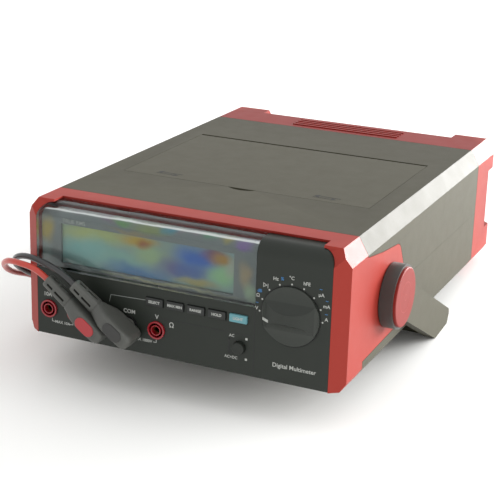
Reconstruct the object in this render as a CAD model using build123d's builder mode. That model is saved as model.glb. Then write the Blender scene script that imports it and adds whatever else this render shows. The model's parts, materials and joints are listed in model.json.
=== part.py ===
from build123d import *
import math
import os

# Bench multimeter: a flat moulded case with a sloping-cornered outline, a red bezel with
# side wings, a dark front panel with a clear display window, a rotary selector, a row of
# keys, five 4 mm sockets, two plugged-in test leads, a storage box under a lid in the top,
# and a stirrup handle that also props the front up.
#
# Case frame: X to the right seen from the front, Y to the back, Z up, with its origin in
# the middle of the case's lower front edge.  The case leans back on its handle, so this
# frame is tilted in the model's own frame, whose floor is Z = 0.  Millimetres.

# ---- how it stands ----
STAND_TILT = 4.4          # degrees that the handle lifts the front
REAR_FOOT_Y = 276.0
REAR_FOOT_DROP = 8.5      # floor below the case's base at the rear feet

# ---- case outline, seen from the front ----
CASE_HALF_W = 107.5
CASE_H = 86.8
ROOF_HALF_W = 101.2       # flat of the roof, inside the sloping shoulders
SHOULDER_Z = 76.0
BASE_HALF_W = 104.3
BASE_BEVEL = 5.0
WALL = 2.5
PART_Z = 40.0             # parting line of the two shells
SEAM_FRONT = 26.2         # back edge of the red bezel
SEAM_REAR = 257.3         # front edge of the rear bumper
CASE_BACK = 287.0
LUG_END = 303.0
LUG_T = 13.0
LUG_BEVEL = 5.0
LUG_START_X = 77.0
GAP = 0.3                 # between pieces that sit side by side
SEAT = 0.1                # between pieces that rest on each other

# ---- front ----
PANEL_PROUD = 6.0         # panel face in front of the case's front edge
PANEL_T = 3.0
PANEL_BEND_R = 9.0        # roll of the panel's top edge
ROLL_FLAT = 8.0           # flat top behind that roll
RING_HALF_W = 98.6        # opening of the red bezel
RING_TOP = 85.5
RING_CORNER_R = 9.0
BEZEL_T = 3.0
WING_T = 2.5
WINDOW_T = 2.5
WINDOW_RIGHT = 51.2
WINDOW_BOTTOM = 44.2

# ---- sockets ----
JACK_PITCH = 19.05
JACK_FIRST_X = -90.0
JACK_Z = 17.6
JACK_R = 5.7
JACK_PROUD = 1.2
JACK_DEPTH = 22.0
JACK_NAMES = ("jack_10a", "jack_ma", "jack_temperature", "jack_com", "jack_volt")
CONTACT_BORE_R = 2.02
CONTACT_START = 2.0       # behind the panel's face
CONTACT_R = 2.7
POST_R = 3.3
SHROUD_SLOT_R = 4.7

# ---- keys ----
KEY_NAMES = ("key_select", "key_max_min", "key_range", "key_hold", "key_light")
KEY_FIRST_X = -15.0
KEY_PITCH = 13.95
KEY_Z = 35.5
KEY_W = 11.5
KEY_H = 5.0
KEY_PROUD = 1.3
KEY_TRAVEL = 0.8
BUTTON_X = 41.7
BUTTON_Z = 17.3
BUTTON_R = 3.8
BUTTON_PROUD = 3.0
BUTTON_TRAVEL = 2.0

# ---- selector ----
KNOB_X = 73.7
KNOB_Z = 42.9
KNOB_R = 18.1
KNOB_POCKET = 1.2
KNOB_H = 7.9
KNOB_DISC_T = 1.9
HOLLOW_R = 15.0           # finger hollows each side of the knob's grip bar
HOLLOW_OUT = 9.0          # their axes, in front of the knob's face
HOLLOW_OFFSET = 14.9      # their axes, above and below the knob's middle
SHAFT_R = 3.0
ROTOR_R = 15.0

# ---- boards and display ----
BOARD_T = 1.6
FRONT_BOARD_Y = 12.0
MAIN_BOARD_Z = 12.0
LCD_LEFT = -84.0
LCD_RIGHT = 34.5
LCD_BOTTOM = 47.3
LCD_TOP = 73.0
LCD_FRAME_Y = -1.0
LCD_T = 2.8

# ---- storage box and lid ----
LID_HALF_W = 86.7
LID_FRONT = 82.1
LID_BACK = 198.5
LID_KNUCKLE_R = 2.2
LID_T = 2.5
TRAY_FLOOR_Z = 52.0
HINGE_PIN_R = 1.0

# ---- handle ----
HUB_Y = 68.5
HUB_Z = 38.5
HUB_R = 20.4
HUB_RIM = 1.5             # black ring left showing round the cap
EYE_RIM = 2.4             # thickness of the ring round the arm's eye
HUB_GAP = 0.5             # between the case's side and the hub
HUB_T = 8.6
CAP_T = 1.8
ARM_W = 24.0
ARM_GAP = 0.9             # between the case's side and an arm
ARM_T = 7.2
ARM_DROP = 28.0           # degrees that the arms point down to the back at rest
ARM_LENGTH = 120.0
BAR_START = 101.0         # nearest that the cross bar comes to the pivot
BOLT_R = 4.0
BUSH_R = 5.4

# ---- test leads ----
PLUG_SLANT = 143.5        # degrees from +X, seen from the front
PLUG_JACKS = (("red", 2), ("black", 3))
PLUG_TAIL = 40.0          # from the socket's axis to the end of the strain relief
PLUG_HEAD_FRONT = 25.5    # face of the plug in front of the case's front edge
CORD_DEPTH = 17.0         # cord's axis in front of the case's front edge, at the plug
CORD_R = 1.95
COIL_X = -150.0
COIL_Y = 101.0
COIL_MID_R = 22.0
COIL_TURNS_SIDE_BY_SIDE = 2
PROBE_R = 5.0
PROBE_LENGTH = 92.0

# ---- rear ----
INLET_X = -62.0
SWITCH_X = -20.0
REAR_FITTINGS_Z = 34.0
REAR_PANEL_Y = 277.0
REAR_PANEL_T = 2.5

os.makedirs("parts", exist_ok=True)
tilt = math.radians(STAND_TILT)


def along_floor(y, z):
    """How far back a point of the case lies, measured along the floor."""
    return y * math.cos(tilt) + z * math.sin(tilt)


# The grip bar's lower edge is foremost and the upper lugs reach furthest back.
KNOB_BACK = KNOB_POCKET - PANEL_PROUD - GAP
KNOB_FACE = KNOB_BACK - KNOB_H
KNOB_DISC_Y = KNOB_BACK - KNOB_DISC_T
GRIP_HALF_W = HOLLOW_OFFSET - math.sqrt(HOLLOW_R**2 - HOLLOW_OUT**2)
FRONT_MOST = along_floor(KNOB_FACE, KNOB_Z - GRIP_HALF_W)
REAR_MOST = along_floor(LUG_END, CASE_H - LUG_BEVEL)
CASE = Plane(
    origin=(
        0,
        -(FRONT_MOST + REAR_MOST) / 2,
        REAR_FOOT_Y * math.sin(tilt) + REAR_FOOT_DROP * math.cos(tilt),
    ),
    x_dir=(1, 0, 0),
    z_dir=(0, math.sin(tilt), math.cos(tilt)),
)


def case_point(x, y, z):
    """A point of the case frame, in the model's frame."""
    return CASE.from_local_coords(Vector(x, y, z))


def facing_front(y, x=0, z=0, turn=0):
    """Plane across the case at depth y; its X is the case's X turned, its normal is -Y."""
    angle = math.radians(turn)
    across = CASE.x_dir * math.cos(angle) + CASE.z_dir * math.sin(angle)
    return Plane(origin=case_point(x, y, z), x_dir=across, z_dir=-CASE.y_dir)


def facing_side(x, y=0, z=0, turn=0):
    """Plane along the case at x; its X is the case's Y turned, its normal is +X."""
    angle = math.radians(turn)
    back = CASE.y_dir * math.cos(angle) + CASE.z_dir * math.sin(angle)
    return Plane(origin=case_point(x, y, z), x_dir=back, z_dir=CASE.x_dir)


def level(z, x=0, y=0):
    """Plane parallel to the case's base at height z."""
    return Plane(origin=case_point(x, y, z), x_dir=CASE.x_dir, z_dir=CASE.z_dir)


def case_outline(inset=0.0):
    """Corners of the case seen from the front, moved inwards by inset."""
    right = [(BASE_HALF_W, 0.0), (CASE_HALF_W, BASE_BEVEL), (CASE_HALF_W, SHOULDER_Z), (ROOF_HALF_W, CASE_H)]
    corners = [Vector(x, z) for x, z in right] + [Vector(-x, z) for x, z in reversed(right)]
    moved = []
    for before, here, after in zip(corners[-1:] + corners, corners, corners[1:] + corners[:1]):
        arriving = (here - before).normalized()
        leaving = (after - here).normalized()
        normal_in = Vector(-arriving.Y, arriving.X)
        normal_out = Vector(-leaving.Y, leaving.X)
        shift = (normal_in + normal_out) * (inset / (1 + normal_in.dot(normal_out)))
        moved.append((here.X + shift.X, here.Y + shift.Y))
    return moved


def wing_outline(grow=0.0):
    """Side wing of the red bezel, in the case's Y and Z, with its rounded back corners."""
    with BuildSketch() as wing:
        with BuildLine():
            Polyline(
                (SEAM_FRONT - 6, 9.5),
                (94, 11.5),
                (94, 50),
                (84.5, 67),
                (52, 70.5),
                (SEAM_FRONT - 6, SHOULDER_Z - 0.3),
                close=True,
            )
        make_face()
        fillet([corner for corner in wing.vertices() if corner.X > 80], radius=9)
        if grow:
            offset(amount=grow)
    return wing.sketch


# ======================= case shells =======================

# Roof and upper sides, open in front, behind and below.
SHELL_LENGTH = SEAM_REAR - SEAM_FRONT - 2 * GAP
SCREW_X = 95.5
SCREW_YS = (46.0, 242.0)
SCREW_R = 1.5
NOTCH_R = 14.9
NOTCH_DEPTH = 3.9

with BuildPart() as top_shell:
    with BuildSketch(facing_front(SEAM_FRONT + GAP)):
        Polygon(*case_outline(), align=None)
        Polygon(*case_outline(WALL), align=None, mode=Mode.SUBTRACT)
        with Locations((0, PART_Z + SEAT / 2)):
            Rectangle(3 * CASE_HALF_W, CASE_H, align=(Align.CENTER, Align.MAX), mode=Mode.SUBTRACT)
    extrude(amount=-SHELL_LENGTH)
    # opening for the storage lid
    with BuildSketch(level(CASE_H + 1)):
        with Locations((0, (LID_FRONT - GAP + LID_BACK + 0.7) / 2)):
            Rectangle(2 * (LID_HALF_W + GAP), LID_BACK + 0.7 - LID_FRONT + GAP)
    extrude(amount=-2 * WALL, mode=Mode.SUBTRACT)
    # eyes for the lid's hinge pins
    for side in (-1, 1):
        with BuildSketch(facing_side(side * (LID_HALF_W + GAP))):
            with Locations((LID_BACK - LID_KNUCKLE_R, CASE_H - LID_KNUCKLE_R)):
                Rectangle(6, 5.6, align=(Align.CENTER, Align.CENTER))
            with Locations((LID_BACK, CASE_H)):
                Rectangle(20, 4 - LID_KNUCKLE_R, align=(Align.CENTER, Align.MIN), mode=Mode.SUBTRACT)
        extrude(amount=side * 4)
        with BuildSketch(facing_side(side * (LID_HALF_W + GAP))):
            with Locations((LID_BACK - LID_KNUCKLE_R, CASE_H - LID_KNUCKLE_R)):
                Circle(HINGE_PIN_R)
        extrude(amount=side * 3.6, mode=Mode.SUBTRACT)
    # half-moon finger notch in front of the lid
    with BuildSketch(level(CASE_H + 1)):
        with Locations((0, LID_FRONT - NOTCH_DEPTH + NOTCH_R)):
            Circle(NOTCH_R)
        with Locations((0, LID_FRONT)):
            Rectangle(3 * NOTCH_R, 3 * NOTCH_R, align=(Align.CENTER, Align.MIN), mode=Mode.SUBTRACT)
    extrude(amount=-2 * WALL, mode=Mode.SUBTRACT)
    # screw columns
    with BuildSketch(level(PART_Z + SEAT / 2)):
        for y in SCREW_YS:
            with Locations((SCREW_X, y), (-SCREW_X, y)):
                Circle(4.2)
                Circle(SCREW_R, mode=Mode.SUBTRACT)
    extrude(amount=CASE_H - WALL - PART_Z + 0.5)
    # side openings that the bezel's wings fill
    with BuildSketch(facing_side(-CASE_HALF_W - 1)):
        add(wing_outline(GAP))
    extrude(amount=2 * CASE_HALF_W + 2, mode=Mode.SUBTRACT)
top_shell.part.label = "top_shell"

# Lower sides and base, with a tongue that closes the underside of the front.
CELL_R = 13.0
CELL_LENGTH = 49.5
CELLS_LEFT = -74.0
CELL_ROWS = (206.0, 234.0)
BAY_W = 2 * CELL_LENGTH + 5
BAY_FRONT = CELL_ROWS[0] - CELL_R - 1.5
BAY_BACK = CELL_ROWS[1] + CELL_R + 1.5
BAY_MID_X = CELLS_LEFT + BAY_W / 2
BAY_MID_Y = (BAY_FRONT + BAY_BACK) / 2
BAY_L = BAY_BACK - BAY_FRONT
CELL_Z = WALL + 0.8 + CELL_R
BAY_ROOF = CELL_Z + CELL_R + 0.8
COVER_SCREW_X = CELLS_LEFT + BAY_W + 5.5

# Iron core of the mains transformer, standing on two pads of the base.
CORE_X = 66.0
CORE_Y = 222.0
CORE_BASE = WALL + 1.3
CORE_W = 48.0
CORE_D = 26.0
CORE_H = 40.0
LIMB_W = 16.0
CORE_WINDOW_W = 8.0
CORE_WINDOW_H = 24.0

with BuildPart() as bottom_shell:
    with BuildSketch(facing_front(SEAM_FRONT + GAP)):
        Polygon(*case_outline(), align=None)
        Polygon(*case_outline(WALL), align=None, mode=Mode.SUBTRACT)
        with Locations((0, PART_Z - SEAT / 2)):
            Rectangle(3 * CASE_HALF_W, CASE_H, align=(Align.CENTER, Align.MIN), mode=Mode.SUBTRACT)
    extrude(amount=-SHELL_LENGTH)
    # tongue under the front panel
    with BuildSketch(level(0)):
        with Locations((0, SEAM_FRONT + GAP + 1)):
            Rectangle(2 * (RING_HALF_W - GAP), SEAM_FRONT + GAP + 1 + 2.7, align=(Align.CENTER, Align.MAX))
    extrude(amount=WALL)
    # screw columns and posts for the main board
    with BuildSketch(level(WALL - 0.3)):
        for y in SCREW_YS:
            with Locations((SCREW_X, y), (-SCREW_X, y)):
                Circle(5)
    extrude(amount=PART_Z - SEAT / 2 - WALL + 0.3)
    with BuildSketch(level(WALL - 0.3)):
        with Locations((-80, 36), (80, 36), (-80, 176), (80, 176)):
            Circle(3)
    extrude(amount=MAIN_BOARD_Z - SEAT - WALL + 0.3)
    with BuildSketch(level(0)):
        for y in SCREW_YS:
            with Locations((SCREW_X, y), (-SCREW_X, y)):
                Circle(SCREW_R + 0.3)
    extrude(amount=PART_Z, mode=Mode.SUBTRACT)
    with BuildSketch(level(0)):
        for y in SCREW_YS:
            with Locations((SCREW_X, y), (-SCREW_X, y)):
                Circle(3.7)
    extrude(amount=4, mode=Mode.SUBTRACT)
    # battery bay: four walls and a roof over an opening in the base
    with BuildSketch(level(WALL - 0.3)):
        with Locations((BAY_MID_X, BAY_MID_Y)):
            Rectangle(BAY_W + 4, BAY_L + 4)
    extrude(amount=BAY_ROOF + 2 - WALL + 0.3)
    with BuildSketch(level(WALL)):
        with Locations((BAY_MID_X, BAY_MID_Y)):
            Rectangle(BAY_W, BAY_L)
    extrude(amount=BAY_ROOF - WALL, mode=Mode.SUBTRACT)
    with BuildSketch(level(WALL + SEAT)):
        with Locations((COVER_SCREW_X, BAY_MID_Y)):
            Circle(4)
            Circle(1.2, mode=Mode.SUBTRACT)
    extrude(amount=12)
    with BuildSketch(level(-1)):
        with Locations((BAY_MID_X, BAY_MID_Y)):
            Rectangle(BAY_W, BAY_L)
        with Locations((COVER_SCREW_X, BAY_MID_Y)):
            Rectangle(12, 14)
    extrude(amount=WALL + 1 + SEAT, mode=Mode.SUBTRACT)
    # pads under the transformer
    with BuildSketch(level(WALL - 0.3)):
        with Locations((CORE_X, CORE_Y - 16), (CORE_X, CORE_Y + 16)):
            Rectangle(CORE_W - 2, 8)
    extrude(amount=1.5)
    with BuildSketch(facing_side(-CASE_HALF_W - 1)):
        add(wing_outline(GAP))
    extrude(amount=2 * CASE_HALF_W + 2, mode=Mode.SUBTRACT)
bottom_shell.part.label = "bottom_shell"

with BuildPart() as battery_cover:
    with BuildSketch(level(0)):
        with Locations((BAY_MID_X, BAY_MID_Y)):
            Rectangle(BAY_W - 2 * GAP, BAY_L - 2 * GAP)
        with Locations((COVER_SCREW_X - 1, BAY_MID_Y)):
            Rectangle(12, 12)
        with Locations((COVER_SCREW_X, BAY_MID_Y)):
            Circle(1.7, mode=Mode.SUBTRACT)
    extrude(amount=WALL - SEAT)
    # finger grooves across the cover
    with BuildSketch(level(0)):
        with Locations((BAY_MID_X, BAY_MID_Y)):
            with GridLocations(9, 0, 5, 1):
                SlotOverall(30, 2.4, rotation=90)
    extrude(amount=0.8, mode=Mode.SUBTRACT)
battery_cover.part.label = "battery_cover"

with BuildPart() as battery_cells:
    for row in CELL_ROWS:
        for place in range(2):
            start = CELLS_LEFT + 2 + place * (CELL_LENGTH + 1)
            with BuildSketch(facing_side(start)):
                with Locations((row, CELL_Z)):
                    Circle(CELL_R - 0.2)
            extrude(amount=CELL_LENGTH - 1.5)
            with BuildSketch(facing_side(start + CELL_LENGTH - 1.5)):
                with Locations((row, CELL_Z)):
                    Circle(3)
            extrude(amount=1.5)
battery_cells.part.label = "battery_cells"

# Long screws from the base into the roof's columns, and one short one for the battery cover.
with BuildPart() as case_screws:
    for y in SCREW_YS:
        with BuildSketch(level(1.6)):
            with Locations((SCREW_X, y), (-SCREW_X, y)):
                Circle(3.2)
        extrude(amount=2.3)
        with BuildSketch(level(3.9)):
            with Locations((SCREW_X, y), (-SCREW_X, y)):
                Circle(SCREW_R - 0.02)
        extrude(amount=48)
        with BuildSketch(level(1.6)):
            for x in (SCREW_X, -SCREW_X):
                with Locations((x, y)):
                    Rectangle(3.6, 0.8)
                    Rectangle(0.8, 3.6)
        extrude(amount=1.2, mode=Mode.SUBTRACT)
    with BuildSketch(level(-1.4)):
        with Locations((COVER_SCREW_X, BAY_MID_Y)):
            Circle(2.8)
    extrude(amount=1.4 - SEAT / 2)
    with BuildSketch(level(-SEAT / 2)):
        with Locations((COVER_SCREW_X, BAY_MID_Y)):
            Circle(1.18)
    extrude(amount=10)
case_screws.part.label = "case_screws"

# ======================= red bezel and front panel =======================

BOSS_R = 12.0
BOSS_IN = CASE_HALF_W - 13.0   # inner end of the bosses
ROLL_END = PANEL_BEND_R - PANEL_PROUD + ROLL_FLAT

with BuildPart() as front_bezel:
    with BuildSketch(facing_front(-PANEL_PROUD)):
        Polygon(*case_outline(), align=None)
    extrude(amount=-(SEAM_FRONT + PANEL_PROUD))
    # the face slopes back to the sides, and leans back at the top
    with BuildSketch(level(-1)):
        Polygon(
            (-RING_HALF_W, -PANEL_PROUD),
            (RING_HALF_W, -PANEL_PROUD),
            (CASE_HALF_W, 0.3),
            (CASE_HALF_W, SEAM_FRONT),
            (-CASE_HALF_W, SEAM_FRONT),
            (-CASE_HALF_W, 0.3),
            align=None,
        )
    extrude(amount=CASE_H + 2, mode=Mode.INTERSECT)
    with BuildSketch(facing_side(-CASE_HALF_W)):
        Polygon(
            (-PANEL_PROUD, 0),
            (SEAM_FRONT, 0),
            (SEAM_FRONT, CASE_H),
            (1.5, CASE_H),
            (-PANEL_PROUD, RING_TOP - PANEL_BEND_R),
            align=None,
        )
    extrude(amount=2 * CASE_HALF_W, mode=Mode.INTERSECT)
    # hollow behind, and the opening for the panel, open at the bottom
    with BuildSketch(facing_front(ROLL_END + GAP)):
        Polygon(*case_outline(BEZEL_T), align=None)
    extrude(amount=-SEAM_FRONT, mode=Mode.SUBTRACT)
    with BuildSketch(facing_front(-PANEL_PROUD - 1)):
        with BuildLine():
            opening = FilletPolyline(
                (-RING_HALF_W, -1),
                (-RING_HALF_W, RING_TOP),
                (RING_HALF_W, RING_TOP),
                (RING_HALF_W, -1),
                radius=RING_CORNER_R,
            )
            Line(opening @ 1, opening @ 0)
        make_face()
    extrude(amount=-(ROLL_END + PANEL_PROUD + GAP + 1), mode=Mode.SUBTRACT)
    with BuildSketch(level(-1)):
        with Locations((0, -PANEL_PROUD - 1)):
            Rectangle(2 * RING_HALF_W, SEAM_FRONT + PANEL_PROUD + 2, align=(Align.CENTER, Align.MIN))
    extrude(amount=BEZEL_T + 2, mode=Mode.SUBTRACT)
    # the roof strip starts behind the roll of the panel's top edge
    with BuildSketch(facing_side(-RING_HALF_W + RING_CORNER_R)):
        with Locations((ROLL_END, CASE_H + 1)):
            Rectangle(30, CASE_H - RING_TOP + 3, align=(Align.MAX, Align.MAX))
    extrude(amount=2 * (RING_HALF_W - RING_CORNER_R), mode=Mode.SUBTRACT)
    # side wings with the bosses that carry the handle
    for side in (-1, 1):
        with BuildSketch(facing_side(side * (CASE_HALF_W - WING_T))):
            add(wing_outline())
        extrude(amount=side * WING_T)
        with BuildSketch(facing_side(side * BOSS_IN)):
            with Locations((HUB_Y, HUB_Z)):
                Circle(BOSS_R)
        extrude(amount=side * (CASE_HALF_W - WING_T - BOSS_IN + 0.5))
        with BuildSketch(facing_side(side * (BOSS_IN - 1))):
            with Locations((HUB_Y, HUB_Z)):
                Circle(BUSH_R + 0.02)
        extrude(amount=side * (CASE_HALF_W - BOSS_IN + 2), mode=Mode.SUBTRACT)
front_bezel.part.label = "front_bezel"


def panel_section(front_inset, thickness):
    """Section of a wall that rises behind the panel's face and rolls back at the top."""
    centre = (PANEL_BEND_R - PANEL_PROUD, RING_TOP - GAP - PANEL_BEND_R)
    outer = PANEL_BEND_R - front_inset
    inner = outer - thickness
    with BuildSketch() as section:
        with BuildLine():
            Line((centre[0] - outer, 0), (centre[0] - outer, centre[1]))
            CenterArc(centre, outer, 180, -90)
            Line((centre[0], centre[1] + outer), (ROLL_END, centre[1] + outer))
            Line((ROLL_END, centre[1] + outer), (ROLL_END, centre[1] + inner))
            Line((ROLL_END, centre[1] + inner), (centre[0], centre[1] + inner))
            CenterArc(centre, inner, 90, 90)
            Line((centre[0] - inner, centre[1]), (centre[0] - inner, 0))
            Line((centre[0] - inner, 0), (centre[0] - outer, 0))
        make_face()
    return section.sketch


PANEL_HALF_W = RING_HALF_W - 0.15

with BuildPart() as front_panel:
    with BuildSketch(facing_side(-PANEL_HALF_W)):
        add(panel_section(0, PANEL_T))
    extrude(amount=2 * PANEL_HALF_W)
    with BuildSketch(facing_front(-PANEL_PROUD - 1)):
        with BuildLine():
            edge = FilletPolyline(
                (-PANEL_HALF_W, 0.4),
                (-PANEL_HALF_W, RING_TOP - GAP),
                (PANEL_HALF_W, RING_TOP - GAP),
                (PANEL_HALF_W, 0.4),
                radius=RING_CORNER_R,
            )
            Line(edge @ 1, edge @ 0)
        make_face()
    extrude(amount=-20, mode=Mode.INTERSECT)
    # room for the window, and the holes for sockets, keys, button and selector
    with BuildSketch(facing_front(-PANEL_PROUD - 1)):
        with Locations((WINDOW_RIGHT, WINDOW_BOTTOM)):
            Rectangle(2 * CASE_HALF_W, CASE_H, align=(Align.MAX, Align.MIN))
        for place in range(len(JACK_NAMES)):
            with Locations((JACK_FIRST_X + place * JACK_PITCH, JACK_Z)):
                Circle(JACK_R + SEAT)
        for place in range(len(KEY_NAMES)):
            with Locations((KEY_FIRST_X + place * KEY_PITCH, KEY_Z)):
                Rectangle(KEY_W + 2 * 0.25, KEY_H + 2 * 0.25)
        with Locations((BUTTON_X, BUTTON_Z)):
            Circle(BUTTON_R + GAP)
        with Locations((KNOB_X, KNOB_Z)):
            Circle(SHAFT_R + GAP)
    extrude(amount=-20, mode=Mode.SUBTRACT)
    with BuildSketch(facing_front(-PANEL_PROUD - 1)):
        with Locations((KNOB_X, KNOB_Z)):
            Circle(KNOB_R + 0.7)
    extrude(amount=-(1 + KNOB_POCKET), mode=Mode.SUBTRACT)
front_panel.part.label = "front_panel"

with BuildPart() as display_window:
    with BuildSketch(facing_side(-PANEL_HALF_W)):
        add(panel_section(0, WINDOW_T))
    extrude(amount=PANEL_HALF_W + WINDOW_RIGHT - GAP / 2)
    with BuildSketch(facing_front(-PANEL_PROUD - 1)):
        with BuildLine():
            edge = FilletPolyline(
                (-PANEL_HALF_W, WINDOW_BOTTOM + GAP / 2),
                (-PANEL_HALF_W, RING_TOP - GAP),
                (PANEL_HALF_W, RING_TOP - GAP),
                (PANEL_HALF_W, WINDOW_BOTTOM + GAP / 2),
                radius=RING_CORNER_R,
            )
            Line(edge @ 1, edge @ 0)
        make_face()
    extrude(amount=-20, mode=Mode.INTERSECT)
display_window.part.label = "display_window"

# ======================= display =======================

FRAME_LEFT = -PANEL_HALF_W + 1
FRAME_RIGHT = WINDOW_RIGHT - 1.2
FRAME_TOP = RING_TOP - PANEL_BEND_R + 0.5

with BuildPart() as lcd_frame:
    with BuildSketch(facing_side(FRAME_LEFT)):
        Polygon(
            (LCD_FRAME_Y, WINDOW_BOTTOM + 0.4),
            (LCD_FRAME_Y, FRAME_TOP),
            (3.5, FRAME_TOP + 3),
            (ROLL_END - GAP, FRAME_TOP + 3),
            (ROLL_END - GAP, FRAME_TOP + 1),
            (4, FRAME_TOP + 1),
            (LCD_FRAME_Y + 2, FRAME_TOP - 1),
            (LCD_FRAME_Y + 2, WINDOW_BOTTOM + 0.4),
            align=None,
        )
    extrude(amount=FRAME_RIGHT - FRAME_LEFT)
    with BuildSketch(facing_front(LCD_FRAME_Y - 1)):
        with Locations(((LCD_LEFT + LCD_RIGHT) / 2, (LCD_BOTTOM + LCD_TOP) / 2)):
            Rectangle(LCD_RIGHT - LCD_LEFT, LCD_TOP - LCD_BOTTOM)
    extrude(amount=-4, mode=Mode.SUBTRACT)
lcd_frame.part.label = "lcd_frame"

LCD_Y = LCD_FRAME_Y + 2 + SEAT
LCD_MID = ((LCD_LEFT + LCD_RIGHT) / 2, (LCD_BOTTOM + LCD_TOP) / 2)
with BuildPart() as lcd_glass:
    with BuildSketch(facing_front(LCD_Y)):
        with Locations(LCD_MID):
            Rectangle(LCD_RIGHT - LCD_LEFT + 6, LCD_TOP - LCD_BOTTOM + 4)
    extrude(amount=-LCD_T / 2)
    with BuildSketch(facing_front(LCD_Y + LCD_T / 2)):
        with Locations((LCD_MID[0], LCD_MID[1] - 0.6)):
            Rectangle(LCD_RIGHT - LCD_LEFT + 6, LCD_TOP - LCD_BOTTOM + 2.8)
    extrude(amount=-LCD_T / 2)
lcd_glass.part.label = "lcd_glass"

with BuildPart() as lcd_backlight:
    with BuildSketch(facing_front(LCD_Y + LCD_T + SEAT)):
        with Locations(LCD_MID):
            Rectangle(LCD_RIGHT - LCD_LEFT + 2, LCD_TOP - LCD_BOTTOM)
    extrude(amount=-(FRONT_BOARD_Y - LCD_Y - LCD_T - 2 * SEAT))
lcd_backlight.part.label = "lcd_backlight"

# ======================= boards =======================

with BuildPart() as front_board:
    with BuildSketch(facing_front(FRONT_BOARD_Y)):
        with Locations((0, 42)):
            Rectangle(190, 74)
        for place in range(len(JACK_NAMES)):
            with Locations((JACK_FIRST_X + place * JACK_PITCH, JACK_Z)):
                Circle(JACK_R + 2 * GAP, mode=Mode.SUBTRACT)
        with Locations((KNOB_X, KNOB_Z)):
            Circle(SHAFT_R + 2 * GAP, mode=Mode.SUBTRACT)
    extrude(amount=-BOARD_T)
front_board.part.label = "front_board"

with BuildPart() as main_board:
    with BuildSketch(level(MAIN_BOARD_Z)):
        with Locations((0, 107)):
            Rectangle(170, 150)
    extrude(amount=BOARD_T)
    # the two surge absorbers, relays and the shielded converter module
    with BuildSketch(level(MAIN_BOARD_Z + BOARD_T)):
        with Locations((-62, 60), (-44, 60)):
            Rectangle(12, 20)
        with Locations((-30, 118)):
            Rectangle(46, 34)
        with Locations((40, 96)):
            Circle(7)
        with Locations((60, 150), (42, 150)):
            Circle(6)
    extrude(amount=14)
main_board.part.label = "main_board"

# Two ceramic fuses for the current ranges.
with BuildPart() as input_fuses:
    for x in (-20, -4):
        with BuildSketch(facing_front(46, x=x, z=MAIN_BOARD_Z + BOARD_T + 6)):
            Circle(5)
        extrude(amount=-32)
input_fuses.part.label = "input_fuses"

# ======================= mains transformer =======================

with BuildPart() as transformer_core:
    with BuildSketch(facing_front(CORE_Y - CORE_D / 2)):
        with Locations((CORE_X, CORE_BASE + CORE_H / 2)):
            Rectangle(CORE_W, CORE_H)
            with GridLocations(LIMB_W + CORE_WINDOW_W, 0, 2, 1):
                Rectangle(CORE_WINDOW_W, CORE_WINDOW_H, mode=Mode.SUBTRACT)
    extrude(amount=-CORE_D)
    # mounting feet in front and behind
    with BuildSketch(level(CORE_BASE)):
        with Locations((CORE_X, CORE_Y)):
            Rectangle(CORE_W, CORE_D + 14)
    extrude(amount=2)
transformer_core.part.label = "transformer_core"

with BuildPart() as transformer_windings:
    with BuildSketch(level(CORE_BASE + CORE_H / 2 - CORE_WINDOW_H / 2 + SEAT)):
        with Locations((CORE_X, CORE_Y)):
            RectangleRounded(LIMB_W + 2 * CORE_WINDOW_W - 2 * SEAT, CORE_D + 2 * CORE_WINDOW_W, 4)
            Rectangle(LIMB_W + 2 * SEAT, CORE_D + 2 * SEAT, mode=Mode.SUBTRACT)
    extrude(amount=CORE_WINDOW_H - 2 * SEAT)
transformer_windings.part.label = "transformer_windings"

# ======================= sockets, keys and button =======================

for place, name in enumerate(JACK_NAMES):
    jack_x = JACK_FIRST_X + place * JACK_PITCH
    with BuildPart() as socket:
        with BuildSketch(facing_front(-PANEL_PROUD - JACK_PROUD, jack_x, JACK_Z)):
            Circle(JACK_R)
            Circle(SHROUD_SLOT_R, mode=Mode.SUBTRACT)
            Circle(POST_R)
        extrude(amount=-JACK_DEPTH)
        with BuildSketch(facing_front(JACK_DEPTH - PANEL_PROUD - JACK_PROUD, jack_x, JACK_Z)):
            Circle(JACK_R)
        extrude(amount=-2)
        # collar behind the panel
        with BuildSketch(facing_front(PANEL_T - PANEL_PROUD + SEAT, jack_x, JACK_Z)):
            Circle(JACK_R + 1.8)
            Circle(JACK_R - 0.3, mode=Mode.SUBTRACT)
        extrude(amount=-3)
        with BuildSketch(facing_front(-PANEL_PROUD - JACK_PROUD, jack_x, JACK_Z)):
            Circle(CONTACT_R + 0.02)
        extrude(amount=-(JACK_DEPTH + 3), mode=Mode.SUBTRACT)
    socket.part.label = name
    export_step(socket.part, f"parts/{name}.step")

# Brass sleeves with a solder tail, one in each socket.
with BuildPart() as jack_contacts:
    with BuildSketch(facing_front(CONTACT_START - PANEL_PROUD)):
        for place in range(len(JACK_NAMES)):
            with Locations((JACK_FIRST_X + place * JACK_PITCH, JACK_Z)):
                Circle(CONTACT_R)
                Circle(CONTACT_BORE_R, mode=Mode.SUBTRACT)
    extrude(amount=-(JACK_DEPTH - 2 - CONTACT_START))
    with BuildSketch(facing_front(JACK_DEPTH - 2 - PANEL_PROUD)):
        for place in range(len(JACK_NAMES)):
            with Locations((JACK_FIRST_X + place * JACK_PITCH, JACK_Z)):
                Circle(CONTACT_R)
    extrude(amount=-6)
jack_contacts.part.label = "jack_contacts"

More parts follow.
